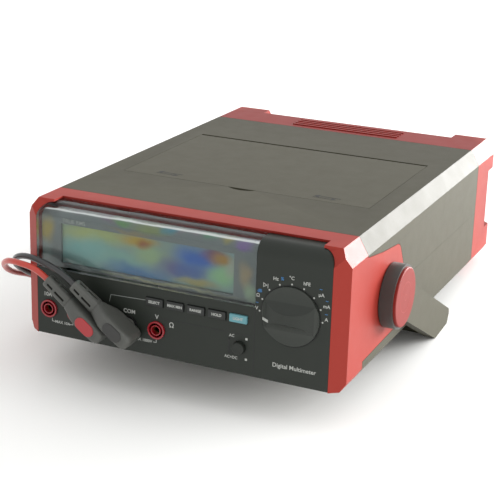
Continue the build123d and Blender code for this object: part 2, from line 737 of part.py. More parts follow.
# Each key is a cap in its slot, a flange behind the panel and a stem towards the mat.
FLANGE_Y = PANEL_T - PANEL_PROUD + SEAT
STEM_END = 6.0
for place, name in enumerate(KEY_NAMES):
    key_x = KEY_FIRST_X + place * KEY_PITCH
    with BuildPart() as key:
        with BuildSketch(facing_front(-PANEL_PROUD - KEY_PROUD, key_x, KEY_Z)):
            RectangleRounded(KEY_W, KEY_H, 0.6)
        extrude(amount=-(KEY_PROUD + PANEL_T + SEAT + 0.3))
        fillet(key.edges().group_by(Axis(CASE.origin, CASE.y_dir))[0], radius=0.5)
        with BuildSketch(facing_front(FLANGE_Y, key_x, KEY_Z)):
            Rectangle(KEY_W + 1.6, KEY_H + 1.6)
        extrude(amount=-1.2)
        with BuildSketch(facing_front(FLANGE_Y + 1.2, key_x, KEY_Z)):
            Rectangle(5, 3)
        extrude(amount=-(STEM_END - FLANGE_Y - 1.2))
    key.part.label = name
    export_step(key.part, f"parts/{name}.step")

# One rubber mat with a dome behind each key.
MAT_T = 1.2
MAT_Y = FRONT_BOARD_Y - SEAT - MAT_T
with BuildPart() as key_mat:
    with BuildSketch(facing_front(MAT_Y)):
        with Locations((KEY_FIRST_X + 2 * KEY_PITCH, KEY_Z)):
            Rectangle(5 * KEY_PITCH, 11)
    extrude(amount=-MAT_T)
    for place in range(len(KEY_NAMES)):
        with BuildSketch(facing_front(MAT_Y + 0.1, KEY_FIRST_X + place * KEY_PITCH, KEY_Z)):
            Circle(3.6)
        extrude(amount=MAT_Y - STEM_END - KEY_TRAVEL - SEAT, taper=18)
key_mat.part.label = "key_mat"

BUTTON_STEM_R = 1.6
with BuildPart() as acdc_button:
    with BuildSketch(facing_front(-PANEL_PROUD - BUTTON_PROUD, BUTTON_X, BUTTON_Z)):
        Circle(BUTTON_R)
    extrude(amount=-(BUTTON_PROUD + PANEL_T + 1.5))
    fillet(acdc_button.edges().group_by(Axis(CASE.origin, CASE.y_dir))[0], radius=0.7)
    with BuildSketch(facing_front(1.5 + PANEL_T - PANEL_PROUD, BUTTON_X, BUTTON_Z)):
        Circle(BUTTON_STEM_R)
    extrude(amount=-6)
acdc_button.part.label = "acdc_button"

SWITCH_Y = 1.5 + PANEL_T - PANEL_PROUD + BUTTON_TRAVEL + GAP
with BuildPart() as acdc_switch:
    with BuildSketch(facing_front(SWITCH_Y, BUTTON_X, BUTTON_Z)):
        Rectangle(8.5, 8.5)
    extrude(amount=-(FRONT_BOARD_Y - SEAT - SWITCH_Y))
    with BuildSketch(facing_front(SWITCH_Y - 1, BUTTON_X, BUTTON_Z)):
        Circle(BUTTON_STEM_R + GAP)
    extrude(amount=-9, mode=Mode.SUBTRACT)
acdc_switch.part.label = "acdc_switch"

# ======================= rotary selector =======================

with BuildPart() as selector_knob:
    # grip bar, arched from side to side, between two finger hollows
    with BuildSketch(level(KNOB_Z - KNOB_R - 1)):
        with BuildLine():
            ThreePointArc(
                (KNOB_X - KNOB_R + 1, KNOB_DISC_Y),
                (KNOB_X, KNOB_FACE),
                (KNOB_X + KNOB_R - 1, KNOB_DISC_Y),
            )
            Line((KNOB_X + KNOB_R - 1, KNOB_DISC_Y), (KNOB_X + KNOB_R - 1, KNOB_BACK))
            Line((KNOB_X + KNOB_R - 1, KNOB_BACK), (KNOB_X - KNOB_R + 1, KNOB_BACK))
            Line((KNOB_X - KNOB_R + 1, KNOB_BACK), (KNOB_X - KNOB_R + 1, KNOB_DISC_Y))
        make_face()
    extrude(amount=2 * KNOB_R + 2)
    with BuildSketch(facing_front(KNOB_BACK, KNOB_X, KNOB_Z)):
        Circle(KNOB_R)
    extrude(amount=KNOB_H, mode=Mode.INTERSECT)
    with BuildSketch(facing_front(KNOB_BACK, KNOB_X, KNOB_Z)):
        Circle(KNOB_R)
    extrude(amount=KNOB_BACK - KNOB_DISC_Y)
    for side in (-1, 1):
        with BuildSketch(facing_side(KNOB_X - KNOB_R - 1)):
            with Locations((KNOB_FACE - HOLLOW_OUT, KNOB_Z + side * HOLLOW_OFFSET)):
                Circle(HOLLOW_R)
                Rectangle(2 * KNOB_R, KNOB_R, align=(Align.CENTER, Align.MIN if side > 0 else Align.MAX))
                Rectangle(2 * KNOB_R, HOLLOW_R, align=(Align.MAX, Align.CENTER))
            # the low disc stays whole under the hollows
            with Locations((KNOB_DISC_Y, KNOB_Z)):
                Rectangle(KNOB_R, 6 * KNOB_R, align=(Align.MIN, Align.CENTER), mode=Mode.SUBTRACT)
        extrude(amount=2 * KNOB_R + 2, mode=Mode.SUBTRACT)
    with BuildSketch(facing_front(KNOB_BACK + 1, KNOB_X, KNOB_Z)):
        Circle(SHAFT_R + 0.02)
    extrude(amount=5.4, mode=Mode.SUBTRACT)
selector_knob.part.label = "selector_knob"

ROTOR_Y = 2.0
ROTOR_T = 3.0
SHAFT_IN_KNOB = 4.3
with BuildPart() as selector_shaft:
    with BuildSketch(facing_front(KNOB_BACK - SHAFT_IN_KNOB, KNOB_X, KNOB_Z)):
        Circle(SHAFT_R)
    extrude(amount=-(FRONT_BOARD_Y + BOARD_T + 3 - KNOB_BACK + SHAFT_IN_KNOB))
selector_shaft.part.label = "selector_shaft"

DETENT_R = 1.0
with BuildPart() as selector_rotor:
    with BuildSketch(facing_front(ROTOR_Y, KNOB_X, KNOB_Z)):
        Circle(ROTOR_R)
        Circle(SHAFT_R + 0.02, mode=Mode.SUBTRACT)
    extrude(amount=-ROTOR_T)
    with BuildSketch(facing_front(ROTOR_Y + ROTOR_T, KNOB_X, KNOB_Z)):
        Circle(6)
        Circle(SHAFT_R + 0.02, mode=Mode.SUBTRACT)
    extrude(amount=-3)
selector_rotor.part.label = "selector_rotor"

# Sprung bronze fingers that run on the front board's tracks.
with BuildPart() as rotor_wipers:
    with BuildSketch(facing_front(ROTOR_Y + ROTOR_T + SEAT, KNOB_X, KNOB_Z)):
        with PolarLocations(10.5, 3):
            Rectangle(6, 2.4)
    extrude(amount=-(FRONT_BOARD_Y - GAP - ROTOR_Y - ROTOR_T - SEAT))
rotor_wipers.part.label = "rotor_wipers"

# Notched ring on the back of the panel that holds each setting.
with BuildPart() as detent_ring:
    with BuildSketch(facing_front(PANEL_T - PANEL_PROUD + SEAT, KNOB_X, KNOB_Z)):
        Circle(ROTOR_R + 3.5)
        Circle(ROTOR_R + 1.2, mode=Mode.SUBTRACT)
        with PolarLocations(ROTOR_R + 1.2, 16):
            Circle(DETENT_R, mode=Mode.SUBTRACT)
    extrude(amount=-(ROTOR_Y + ROTOR_T - PANEL_T + PANEL_PROUD - SEAT))
detent_ring.part.label = "detent_ring"

# ======================= storage box, lid and hinge =======================

TRAY_HALF_W = 84.0
TRAY_FRONT = LID_FRONT + 3
TRAY_BACK = LID_BACK - 2 * LID_KNUCKLE_R - 3.2
RIM_Z = CASE_H - LID_T - SEAT
with BuildPart() as storage_tray:
    with BuildSketch(level(TRAY_FLOOR_Z)):
        with Locations((0, (TRAY_FRONT + TRAY_BACK) / 2)):
            RectangleRounded(2 * TRAY_HALF_W + 4, TRAY_BACK - TRAY_FRONT + 4, 6)
    extrude(amount=RIM_Z - TRAY_FLOOR_Z)
    with BuildSketch(level(RIM_Z - 2)):
        with Locations((0, (TRAY_FRONT + TRAY_BACK) / 2)):
            Rectangle(2 * TRAY_HALF_W + 14, TRAY_BACK - TRAY_FRONT + 4)
        with Locations((0, TRAY_FRONT - 6)):
            Rectangle(2 * TRAY_HALF_W + 14, 8, align=(Align.CENTER, Align.MIN))
    extrude(amount=2)
    with BuildSketch(level(TRAY_FLOOR_Z + 2)):
        with Locations((0, (TRAY_FRONT + TRAY_BACK) / 2)):
            RectangleRounded(2 * TRAY_HALF_W, TRAY_BACK - TRAY_FRONT, 4)
    extrude(amount=RIM_Z, mode=Mode.SUBTRACT)
storage_tray.part.label = "storage_tray"

HINGE_Y = LID_BACK - LID_KNUCKLE_R
HINGE_Z = CASE_H - LID_KNUCKLE_R
with BuildPart() as storage_lid:
    with BuildSketch(level(CASE_H - LID_T)):
        with Locations((0, (LID_FRONT + HINGE_Y) / 2)):
            Rectangle(2 * LID_HALF_W, HINGE_Y - LID_FRONT)
    extrude(amount=LID_T)
    with BuildSketch(facing_side(-LID_HALF_W)):
        with Locations((HINGE_Y, HINGE_Z)):
            Circle(LID_KNUCKLE_R)
    extrude(amount=2 * LID_HALF_W)
    # ribs underneath, clear of the box's walls
    with BuildSketch(level(CASE_H - LID_T - 2)):
        with Locations((0, (TRAY_FRONT + TRAY_BACK) / 2)):
            with GridLocations(0, 40, 1, 3):
                Rectangle(2 * TRAY_HALF_W - 8, 2)
            with GridLocations(52, 0, 4, 1):
                Rectangle(2, TRAY_BACK - TRAY_FRONT - 24)
    extrude(amount=2.3)
    for side in (-1, 1):
        with BuildSketch(facing_side(side * (LID_HALF_W + 1))):
            with Locations((HINGE_Y, HINGE_Z)):
                Circle(HINGE_PIN_R + 0.05)
        extrude(amount=-side * 6, mode=Mode.SUBTRACT)
storage_lid.part.label = "storage_lid"

with BuildPart() as lid_hinge_pins:
    for side in (-1, 1):
        with BuildSketch(facing_side(side * (LID_HALF_W - 4.5))):
            with Locations((HINGE_Y, HINGE_Z)):
                Circle(HINGE_PIN_R - 0.01)
        extrude(amount=side * 8)
lid_hinge_pins.part.label = "lid_hinge_pins"

# ======================= handle =======================

EYE_R = HUB_R - EYE_RIM
CAP_R = HUB_R - HUB_RIM
HEAD_R = EYE_R / 2
BOLT_SEAT_X = CASE_HALF_W + 5.1
HUB_IN = CASE_HALF_W + HUB_GAP
HUB_OUT = HUB_IN + HUB_T
CAP_OUT = HUB_OUT + CAP_T
ARM_IN = CASE_HALF_W + ARM_GAP
ARM_OUT = ARM_IN + ARM_T
# The cross bar's upper edge stops just under the case's base.
drop = math.radians(ARM_DROP)
BAR_TOP = (BAR_START * math.sin(drop) - HUB_Z - GAP) / math.cos(drop)
with BuildPart() as handle:
    for side in (-1, 1):
        with BuildSketch(facing_side(side * ARM_IN, HUB_Y, HUB_Z)):
            Circle(EYE_R)
        extrude(amount=side * (ARM_OUT - ARM_IN))
        with BuildSketch(facing_side(side * ARM_IN, HUB_Y, HUB_Z, -ARM_DROP)):
            Rectangle(ARM_LENGTH, ARM_W, align=(Align.MIN, Align.CENTER))
            fillet([corner for corner in vertices() if corner.X > ARM_LENGTH - 1], radius=4)
        extrude(amount=side * (ARM_OUT - ARM_IN))
    with BuildSketch(facing_side(-ARM_OUT, HUB_Y, HUB_Z, -ARM_DROP)):
        with Locations((BAR_START, BAR_TOP)):
            Rectangle(ARM_LENGTH - BAR_START - 1, BAR_TOP + ARM_W / 2, align=(Align.MIN, Align.MAX))
    extrude(amount=2 * ARM_OUT)
    # the stand's foot is flat along the floor
    split(bisect_by=Plane.XY, keep=Keep.TOP)
    for side in (-1, 1):
        # seat for the bolt's head
        with BuildSketch(facing_side(side * (BOLT_SEAT_X - SEAT), HUB_Y, HUB_Z)):
            Circle(HEAD_R + GAP)
        extrude(amount=side * 6, mode=Mode.SUBTRACT)
        with BuildSketch(facing_side(side * (HUB_IN - 1), HUB_Y, HUB_Z)):
            Circle(BOLT_R + 0.08)
        extrude(amount=side * 14, mode=Mode.SUBTRACT)
handle.part.label = "handle"

# Black rings that clasp each arm's eye, open where the arm leaves.
with BuildPart() as hub_rings:
    for side in (-1, 1):
        with BuildSketch(facing_side(side * HUB_IN, HUB_Y, HUB_Z)):
            Circle(HUB_R)
            Circle(EYE_R + 0.02, mode=Mode.SUBTRACT)
        extrude(amount=side * (HUB_OUT - HUB_IN))
        with BuildSketch(facing_side(side * (ARM_IN - SEAT), HUB_Y, HUB_Z, -ARM_DROP)):
            Rectangle(ARM_LENGTH, ARM_W + 2 * SEAT, align=(Align.MIN, Align.CENTER))
        extrude(amount=side * (ARM_OUT - ARM_IN + 2 * SEAT), mode=Mode.SUBTRACT)
hub_rings.part.label = "hub_rings"

# Round red caps that hide the pivot bolts.
with BuildPart() as hub_caps:
    for side in (-1, 1):
        with BuildSketch(facing_side(side * (HUB_OUT + 0.02), HUB_Y, HUB_Z)):
            Circle(CAP_R)
        extrude(amount=side * (CAP_OUT - HUB_OUT - 0.02))
    fillet(hub_caps.edges().group_by(Axis.X)[0], radius=0.8)
    fillet(hub_caps.edges().group_by(Axis.X)[-1], radius=0.8)
hub_caps.part.label = "hub_caps"

# Shoulder bolts: head under the cap, plain neck in the handle, thread in the bush.
with BuildPart() as pivot_bolts:
    for side in (-1, 1):
        with BuildSketch(facing_side(side * BOLT_SEAT_X, HUB_Y, HUB_Z)):
            Circle(HEAD_R)
        extrude(amount=side * 2.4)
        with BuildSketch(facing_side(side * (BOSS_IN + 1), HUB_Y, HUB_Z)):
            Circle(BOLT_R)
        extrude(amount=side * (BOLT_SEAT_X - BOSS_IN - 1))
pivot_bolts.part.label = "pivot_bolts"

with BuildPart() as pivot_bushes:
    for side in (-1, 1):
        with BuildSketch(facing_side(side * BOSS_IN, HUB_Y, HUB_Z)):
            Circle(BUSH_R)
            Circle(BOLT_R + 0.02, mode=Mode.SUBTRACT)
        extrude(amount=side * (CASE_HALF_W - BOSS_IN))
pivot_bushes.part.label = "pivot_bushes"

# ======================= rear =======================

LUG_ROOT = REAR_PANEL_Y + REAR_PANEL_T + 2

with BuildPart() as rear_bezel:
    with BuildSketch(facing_front(SEAM_REAR)):
        Polygon(*case_outline(), align=None)
        Polygon(*case_outline(BEZEL_T), align=None, mode=Mode.SUBTRACT)
    extrude(amount=-(CASE_BACK - SEAM_REAR))
    # four lugs that the case can stand on, bevelled at their ends
    with BuildSketch(facing_front(LUG_ROOT)):
        Polygon(*case_outline(), align=None)
        with Locations((0, CASE_H / 2)):
            Rectangle(2 * (CASE_HALF_W - LUG_T), CASE_H - 2 * LUG_T, mode=Mode.SUBTRACT)
        Rectangle(2 * LUG_START_X, 3 * CASE_H, mode=Mode.SUBTRACT)
        with Locations((0, CASE_H / 2)):
            Rectangle(3 * CASE_HALF_W, 44, mode=Mode.SUBTRACT)
    extrude(amount=-(LUG_END - LUG_ROOT))
    with BuildSketch(level(-1)):
        for side in (-1, 1):
            with Locations((side * CASE_HALF_W, LUG_END)):
                Rectangle(LUG_BEVEL * math.sqrt(2), LUG_BEVEL * math.sqrt(2), rotation=45)
    extrude(amount=CASE_H + 2, mode=Mode.SUBTRACT)
    with BuildSketch(facing_side(-CASE_HALF_W - 1)):
        for edge_z in (0, CASE_H):
            with Locations((LUG_END, edge_z)):
                Rectangle(LUG_BEVEL * math.sqrt(2), LUG_BEVEL * math.sqrt(2), rotation=45)
    extrude(amount=2 * CASE_HALF_W + 2, mode=Mode.SUBTRACT)
    # ledge that the rear panel seats on
    with BuildSketch(facing_front(REAR_PANEL_Y - SEAT - 3)):
        Polygon(*case_outline(BEZEL_T - 0.5), align=None)
        Polygon(*case_outline(BEZEL_T + 4), align=None, mode=Mode.SUBTRACT)
    extrude(amount=-3)
    # grip ribs on the roof strip
    with BuildSketch(level(CASE_H - 0.2)):
        with Locations((0, (SEAM_REAR + CASE_BACK) / 2)):
            with GridLocations(0, 5, 1, 4):
                SlotOverall(84, 2.2)
    extrude(amount=0.9)
rear_bezel.part.label = "rear_bezel"

with BuildPart() as rear_panel:
    with BuildSketch(facing_front(REAR_PANEL_Y)):
        Polygon(*case_outline(BEZEL_T + GAP), align=None)
        with Locations((INLET_X, REAR_FITTINGS_Z)):
            Rectangle(27.6, 20.2, mode=Mode.SUBTRACT)
        with Locations((SWITCH_X, REAR_FITTINGS_Z)):
            Rectangle(13.4, 19.6, mode=Mode.SUBTRACT)
        with Locations((60, REAR_FITTINGS_Z)):
            with GridLocations(5, 0, 9, 1):
                SlotOverall(30, 2.2, rotation=90, mode=Mode.SUBTRACT)
    extrude(amount=-REAR_PANEL_T)
rear_panel.part.label = "rear_panel"

PANEL_BACK = REAR_PANEL_Y + REAR_PANEL_T
with BuildPart() as mains_inlet:
    with BuildSketch(facing_front(PANEL_BACK + SEAT, INLET_X, REAR_FITTINGS_Z)):
        RectangleRounded(31, 23, 2)
    extrude(amount=-2)
    with BuildSketch(facing_front(PANEL_BACK + SEAT, INLET_X, REAR_FITTINGS_Z)):
        Rectangle(27, 19.6)
    extrude(amount=18)
    with BuildSketch(facing_front(PANEL_BACK + SEAT + 2, INLET_X, REAR_FITTINGS_Z)):
        RectangleRounded(24, 16, 3)
    extrude(amount=17, mode=Mode.SUBTRACT)
    # three blades
    with BuildSketch(facing_front(PANEL_BACK - 3.5, INLET_X, REAR_FITTINGS_Z)):
        with Locations((-7, -2), (7, -2), (0, 2.5)):
            Rectangle(2, 4)
    extrude(amount=12)
mains_inlet.part.label = "mains_inlet"

ROCKER_SWING = 9.0
ROCKER_R = 8.6
ROCKER_W = 10.4
ROCKER_Y = PANEL_BACK - 4
with BuildPart() as power_rocker:
    # a drum on its pivot, with a shallow V for the finger
    with BuildSketch(facing_side(SWITCH_X - ROCKER_W / 2, ROCKER_Y, REAR_FITTINGS_Z, -ROCKER_SWING)):
        with BuildLine():
            Polyline((-3, -5), (6.6, -7.4), (4.4, 0), (6.6, 7.4), (-3, 5), close=True)
        make_face()
    extrude(amount=ROCKER_W)
    with BuildSketch(facing_side(SWITCH_X - ROCKER_W / 2 - 1.0, ROCKER_Y, REAR_FITTINGS_Z)):
        Circle(1.6)
    extrude(amount=ROCKER_W + 2.0)
power_rocker.part.label = "power_rocker"

with BuildPart() as power_switch:
    with BuildSketch(facing_front(PANEL_BACK + SEAT, SWITCH_X, REAR_FITTINGS_Z)):
        Rectangle(16, 23)
    extrude(amount=-1.6)
    with BuildSketch(facing_front(PANEL_BACK + SEAT, SWITCH_X, REAR_FITTINGS_Z)):
        Rectangle(13, 19.2)
    extrude(amount=17)
    with BuildSketch(facing_front(PANEL_BACK + SEAT + 1.7, SWITCH_X, REAR_FITTINGS_Z)):
        Rectangle(ROCKER_W + 0.6, 17.8)
    extrude(amount=14, mode=Mode.SUBTRACT)
    with BuildSketch(facing_side(SWITCH_X - ROCKER_W / 2 - 1.1, ROCKER_Y, REAR_FITTINGS_Z)):
        Circle(1.65)
    extrude(amount=ROCKER_W + 2.2, mode=Mode.SUBTRACT)
power_switch.part.label = "power_switch"

# Four rubber feet; the rear pair is tall and cut flat along the floor.
with BuildPart() as rubber_feet:
    with BuildSketch(level(-SEAT / 2)):
        with Locations((82, REAR_FOOT_Y - 4), (-82, REAR_FOOT_Y - 4)):
            Circle(10)
    extrude(amount=-REAR_FOOT_DROP - 5, taper=4)
    split(bisect_by=Plane.XY, keep=Keep.TOP)
    with BuildSketch(level(-SEAT / 2)):
        with Locations((84, 50), (-84, 50)):
            Circle(8)
    extrude(amount=-3, taper=8)
rubber_feet.part.label = "rubber_feet"

# ======================= test leads =======================

PLUG_BACK = PANEL_PROUD + JACK_PROUD + GAP
SHROUD_IN_R = POST_R + 0.12
SHROUD_OUT_R = SHROUD_SLOT_R - 0.12
HEAD_BEHIND = 11.0        # from the socket's axis to the rounded end of the head
HEAD_AHEAD = 17.0
HEAD_HALF_W = 5.4
RELIEF_R = 4.6
INLAY_T = 1.4
TAIL_ALONG = math.radians(PLUG_SLANT)

for colour, place in PLUG_JACKS:
    plug_x = JACK_FIRST_X + place * JACK_PITCH
    with BuildPart() as plug:
        with BuildSketch(facing_front(-PLUG_BACK, plug_x, JACK_Z, PLUG_SLANT)):
            with Locations(((HEAD_AHEAD - HEAD_BEHIND) / 2, 0)):
                RectangleRounded(HEAD_AHEAD + HEAD_BEHIND, 2 * HEAD_HALF_W, 4.5)
        extrude(amount=PLUG_HEAD_FRONT - PLUG_BACK)
        fillet(plug.edges().group_by(Axis(CASE.origin, CASE.y_dir))[0], radius=1)
        relief_start = case_point(
            plug_x + (HEAD_AHEAD - 4) * math.cos(TAIL_ALONG),
            -CORD_DEPTH,
            JACK_Z + (HEAD_AHEAD - 4) * math.sin(TAIL_ALONG),
        )
        relief_dir = CASE.x_dir * math.cos(TAIL_ALONG) + CASE.z_dir * math.sin(TAIL_ALONG)
        with BuildSketch(Plane(origin=relief_start, z_dir=relief_dir)):
            Circle(RELIEF_R)
        extrude(amount=PLUG_TAIL - HEAD_AHEAD + 4, taper=2)
        # touch-proof sleeve that enters the socket
        with BuildSketch(facing_front(-PLUG_BACK - 0.2, plug_x, JACK_Z)):
            Circle(SHROUD_OUT_R)
            Circle(SHROUD_IN_R, mode=Mode.SUBTRACT)
        extrude(amount=-(JACK_DEPTH - 3))
        with BuildSketch(facing_front(-PLUG_BACK - 9, plug_x, JACK_Z)):
            Circle(2.0)
        extrude(amount=-10, mode=Mode.SUBTRACT)
        with BuildSketch(facing_front(-PLUG_HEAD_FRONT - 1, plug_x, JACK_Z, PLUG_SLANT)):
            with Locations((1.5, 0)):
                SlotOverall(14.2, 8.2)
        extrude(amount=-2, mode=Mode.SUBTRACT)
    plug.part.label = f"{colour}_plug"
    export_step(plug.part, f"parts/{colour}_plug.step")

    with BuildPart() as inlay:
        with BuildSketch(facing_front(-PLUG_HEAD_FRONT + 1 - SEAT, plug_x, JACK_Z, PLUG_SLANT)):
            with Locations((1.5, 0)):
                SlotOverall(14.0, 8.0)
        extrude(amount=INLAY_T)
        fillet(inlay.edges().group_by(Axis(CASE.origin, CASE.y_dir))[0], radius=0.5)
    inlay.part.label = f"{colour}_plug_inlay"
    export_step(inlay.part, f"parts/{colour}_plug_inlay.step")

def plug_axis(place, along):
    """A point of a plug's slanting axis, this far from the socket's axis."""
    return case_point(
        JACK_FIRST_X + place * JACK_PITCH + along * math.cos(TAIL_ALONG),
        -CORD_DEPTH,
        JACK_Z + along * math.sin(TAIL_ALONG),
    )


def rounded_route(points):
    """Radii for a route's corners, each as large as its two runs allow."""
    radii = []
    for before, here, after in zip(points, points[1:], points[2:]):
        arriving = here - before
        leaving = after - here
        half_turn = math.radians(arriving.get_angle(leaving)) / 2
        radii.append(0.45 * min(arriving.length, leaving.length) / math.tan(half_turn))
    print("radii", [round(radius, 1) for radius in radii])
    return radii


# Each lead curls out past the case's left side, drops to the floor, runs back along the
# case, is wound into its coil from the right and leaves it to the left for its probe.
FLOOR_Z = CORD_R + 0.05
COIL_OUT = COIL_MID_R + COIL_TURNS_SIDE_BY_SIDE * CORD_R
COIL_H = 2 * 2 * CORD_R + 0.1
ENTRY_X = COIL_X + COIL_MID_R

red_to_coil = [
    plug_axis(2, PLUG_TAIL),
    plug_axis(2, PLUG_TAIL + 9),
    Vector(-102.5, -164.4, 80.4),
    Vector(-113.5, -161.0, 79.0),
    Vector(-122.5, -154.0, 72.8),
    Vector(-127.0, -144.0, 63.8),
    Vector(-129.6, -131.5, 56.2),
    Vector(-131.0, -116.0, 48.8),
    Vector(-133.5, -98.0, 38.0),
    Vector(-136.5, -79.0, 23.5),
    Vector(-138.4, -58.0, 9.0),
    Vector(-139.0, -35.0, FLOOR_Z + 0.1),
    Vector(-140.2, -8.0, FLOOR_Z),
    Vector(-138.5, 21.0, FLOOR_Z + 0.4),
    Vector(-134.0, 47.0, 4.6),
    Vector(-129.0, 73.0, COIL_H + 2.4),
    Vector(ENTRY_X, COIL_Y, COIL_H + 3.9),
]
black_to_coil = [
    plug_axis(3, PLUG_TAIL),
    plug_axis(3, PLUG_TAIL + 9),
    Vector(-86.0, -159.2, 80.4),
    Vector(-100.6, -156.6, 82.4),
    Vector(-113.6, -152.4, 78.6),
    Vector(-121.6, -143.4, 68.6),
    Vector(-123.4, -130.0, 58.0),
    Vector(-124.6, -114.5, 48.0),
    Vector(-125.8, -96.0, 35.0),
    Vector(-127.6, -76.0, 19.0),
    Vector(-129.2, -53.0, 4.6),
    Vector(-130.0, -27.0, FLOOR_Z),
    Vector(-129.4, 5.0, FLOOR_Z + 0.1),
    Vector(-130.0, 37.0, FLOOR_Z),
    Vector(ENTRY_X - 0.4, 69.0, FLOOR_Z + 0.1),
    Vector(ENTRY_X, COIL_Y, 4.0),
]
COIL_REAR_Y = COIL_Y + COIL_MID_R
BLACK_PROBE_X = -183.0
RED_PROBE_X = -196.0
PROBE_TAIL_Y = 93.0
PROBE_NOSE_Y = PROBE_TAIL_Y - PROBE_LENGTH
black_from_coil = [
    Vector(COIL_X, COIL_REAR_Y, 4.0),
    Vector(-164.0, 123.5, 3.0),
    Vector(-177.0, 119.0, FLOOR_Z + 0.6),
    Vector(-182.6, 107.0, 3.4),
    Vector(BLACK_PROBE_X, PROBE_TAIL_Y, PROBE_R),
]
red_from_coil = [
    Vector(COIL_X, COIL_REAR_Y, COIL_H + 3.9),
    Vector(-165.0, 125.0, COIL_H + 2.0),
    Vector(-180.0, 127.0, 4.2),
    Vector(-192.0, 122.0, 2.4),
    Vector(-195.8, 109.0, 3.4),
    Vector(RED_PROBE_X, PROBE_TAIL_Y, PROBE_R),
]

for name, stretches in (
    ("red_cord", (red_to_coil, red_from_coil)),
    ("black_cord", (black_to_coil, black_from_coil)),
):
    lead_length = 0
    with BuildPart() as cord:
        for points in stretches:
            with BuildLine() as route:
                FilletPolyline(*points, radius=rounded_route(points))
            with BuildSketch(Plane(origin=route.wire() @ 0, z_dir=route.wire() % 0)):
                Circle(CORD_R)
            sweep()
            lead_length += route.wire().length
    cord.part.label = name
    export_step(cord.part, f"parts/{name}.step")
    straight_volume = math.pi * CORD_R**2 * lead_length
    print(name, "length", round(lead_length, 1))
    print("volume over section times length", round(cord.part.volume / straight_volume, 4))

# Outer shape of the two coils, the red one lying on the black one.
for colour, base in (("black", 0.0), ("red", COIL_H)):
    with BuildPart() as coil:
        with BuildSketch(Plane(origin=(COIL_X, COIL_Y, base + 0.05))):
            Circle(COIL_OUT)
            Circle(2 * COIL_MID_R - COIL_OUT, mode=Mode.SUBTRACT)
        extrude(amount=COIL_H - 0.1)
    coil.part.label = f"{colour}_coil"
    export_step(coil.part, f"parts/{colour}_coil.step")

# Probes: a finger-guarded plastic grip with a steel tip, lying on the floor.
for colour, probe_x in (("red", RED_PROBE_X), ("black", BLACK_PROBE_X)):
    with BuildPart() as probe:
        with BuildSketch(Plane.YZ.offset(probe_x)):
            with BuildLine():
                Polyline(
                    (PROBE_TAIL_Y, PROBE_R),
                    (PROBE_TAIL_Y, PROBE_R + 2.6),
                    (PROBE_TAIL_Y - 14, 2 * PROBE_R - 1.2),
                    (PROBE_TAIL_Y - 62, 2 * PROBE_R - 1.2),
                    (PROBE_TAIL_Y - 63, 2 * PROBE_R + 1.0),
                    (PROBE_TAIL_Y - 65, 2 * PROBE_R + 1.0),
                    (PROBE_TAIL_Y - 67, 2 * PROBE_R - 1.6),
                    (PROBE_NOSE_Y, PROBE_R + 1.9),
                    (PROBE_NOSE_Y, PROBE_R),
                    close=True,
                )
            make_face()
        revolve(axis=Axis((probe_x, 0, PROBE_R), (0, 1, 0)))
        split(bisect_by=Plane.XY, keep=Keep.TOP)
        with BuildSketch(Plane(origin=(probe_x, PROBE_NOSE_Y - 1, PROBE_R), z_dir=(0, 1, 0))):
            Circle(1.02)
        extrude(amount=9, mode=Mode.SUBTRACT)
    probe.part.label = f"{colour}_probe"
    export_step(probe.part, f"parts/{colour}_probe.step")

# Plated metal of both leads: the pins in the plugs and the tips of the probes.
with BuildPart() as lead_metal:
    for colour, place in PLUG_JACKS:
        with BuildSketch(facing_front(-PLUG_BACK - 8.8, JACK_FIRST_X + place * JACK_PITCH, JACK_Z)):
            Circle(1.98)
        extrude(amount=-(JACK_DEPTH + 4))
    for probe_x in (RED_PROBE_X, BLACK_PROBE_X):
        with BuildSketch(Plane(origin=(probe_x, PROBE_NOSE_Y + 7.5, PROBE_R), z_dir=(0, -1, 0))):
            Circle(1.0)
        extrude(amount=20)
        with BuildSketch(Plane(origin=(probe_x, PROBE_NOSE_Y - 12.5, PROBE_R), z_dir=(0, -1, 0))):
            Circle(1.0)
        extrude(amount=4, taper=12)
lead_metal.part.label = "lead_metal"

# ======================= files =======================

export_step(top_shell.part, "parts/top_shell.step")
export_step(bottom_shell.part, "parts/bottom_shell.step")
export_step(battery_cover.part, "parts/battery_cover.step")
export_step(battery_cells.part, "parts/battery_cells.step")
export_step(case_screws.part, "parts/case_screws.step")
export_step(front_bezel.part, "parts/front_bezel.step")
export_step(front_panel.part, "parts/front_panel.step")
export_step(display_window.part, "parts/display_window.step")
export_step(lcd_frame.part, "parts/lcd_frame.step")
export_step(lcd_glass.part, "parts/lcd_glass.step")
export_step(lcd_backlight.part, "parts/lcd_backlight.step")
export_step(front_board.part, "parts/front_board.step")
export_step(main_board.part, "parts/main_board.step")
export_step(input_fuses.part, "parts/input_fuses.step")
export_step(transformer_core.part, "parts/transformer_core.step")
export_step(transformer_windings.part, "parts/transformer_windings.step")
export_step(jack_contacts.part, "parts/jack_contacts.step")
export_step(key_mat.part, "parts/key_mat.step")
export_step(acdc_button.part, "parts/acdc_button.step")
export_step(acdc_switch.part, "parts/acdc_switch.step")
export_step(selector_knob.part, "parts/selector_knob.step")
export_step(selector_shaft.part, "parts/selector_shaft.step")
export_step(selector_rotor.part, "parts/selector_rotor.step")
export_step(rotor_wipers.part, "parts/rotor_wipers.step")
export_step(detent_ring.part, "parts/detent_ring.step")
export_step(storage_tray.part, "parts/storage_tray.step")
export_step(storage_lid.part, "parts/storage_lid.step")
export_step(lid_hinge_pins.part, "parts/lid_hinge_pins.step")
export_step(handle.part, "parts/handle.step")
export_step(hub_rings.part, "parts/hub_rings.step")
export_step(hub_caps.part, "parts/hub_caps.step")
export_step(pivot_bolts.part, "parts/pivot_bolts.step")
export_step(pivot_bushes.part, "parts/pivot_bushes.step")
export_step(rear_bezel.part, "parts/rear_bezel.step")
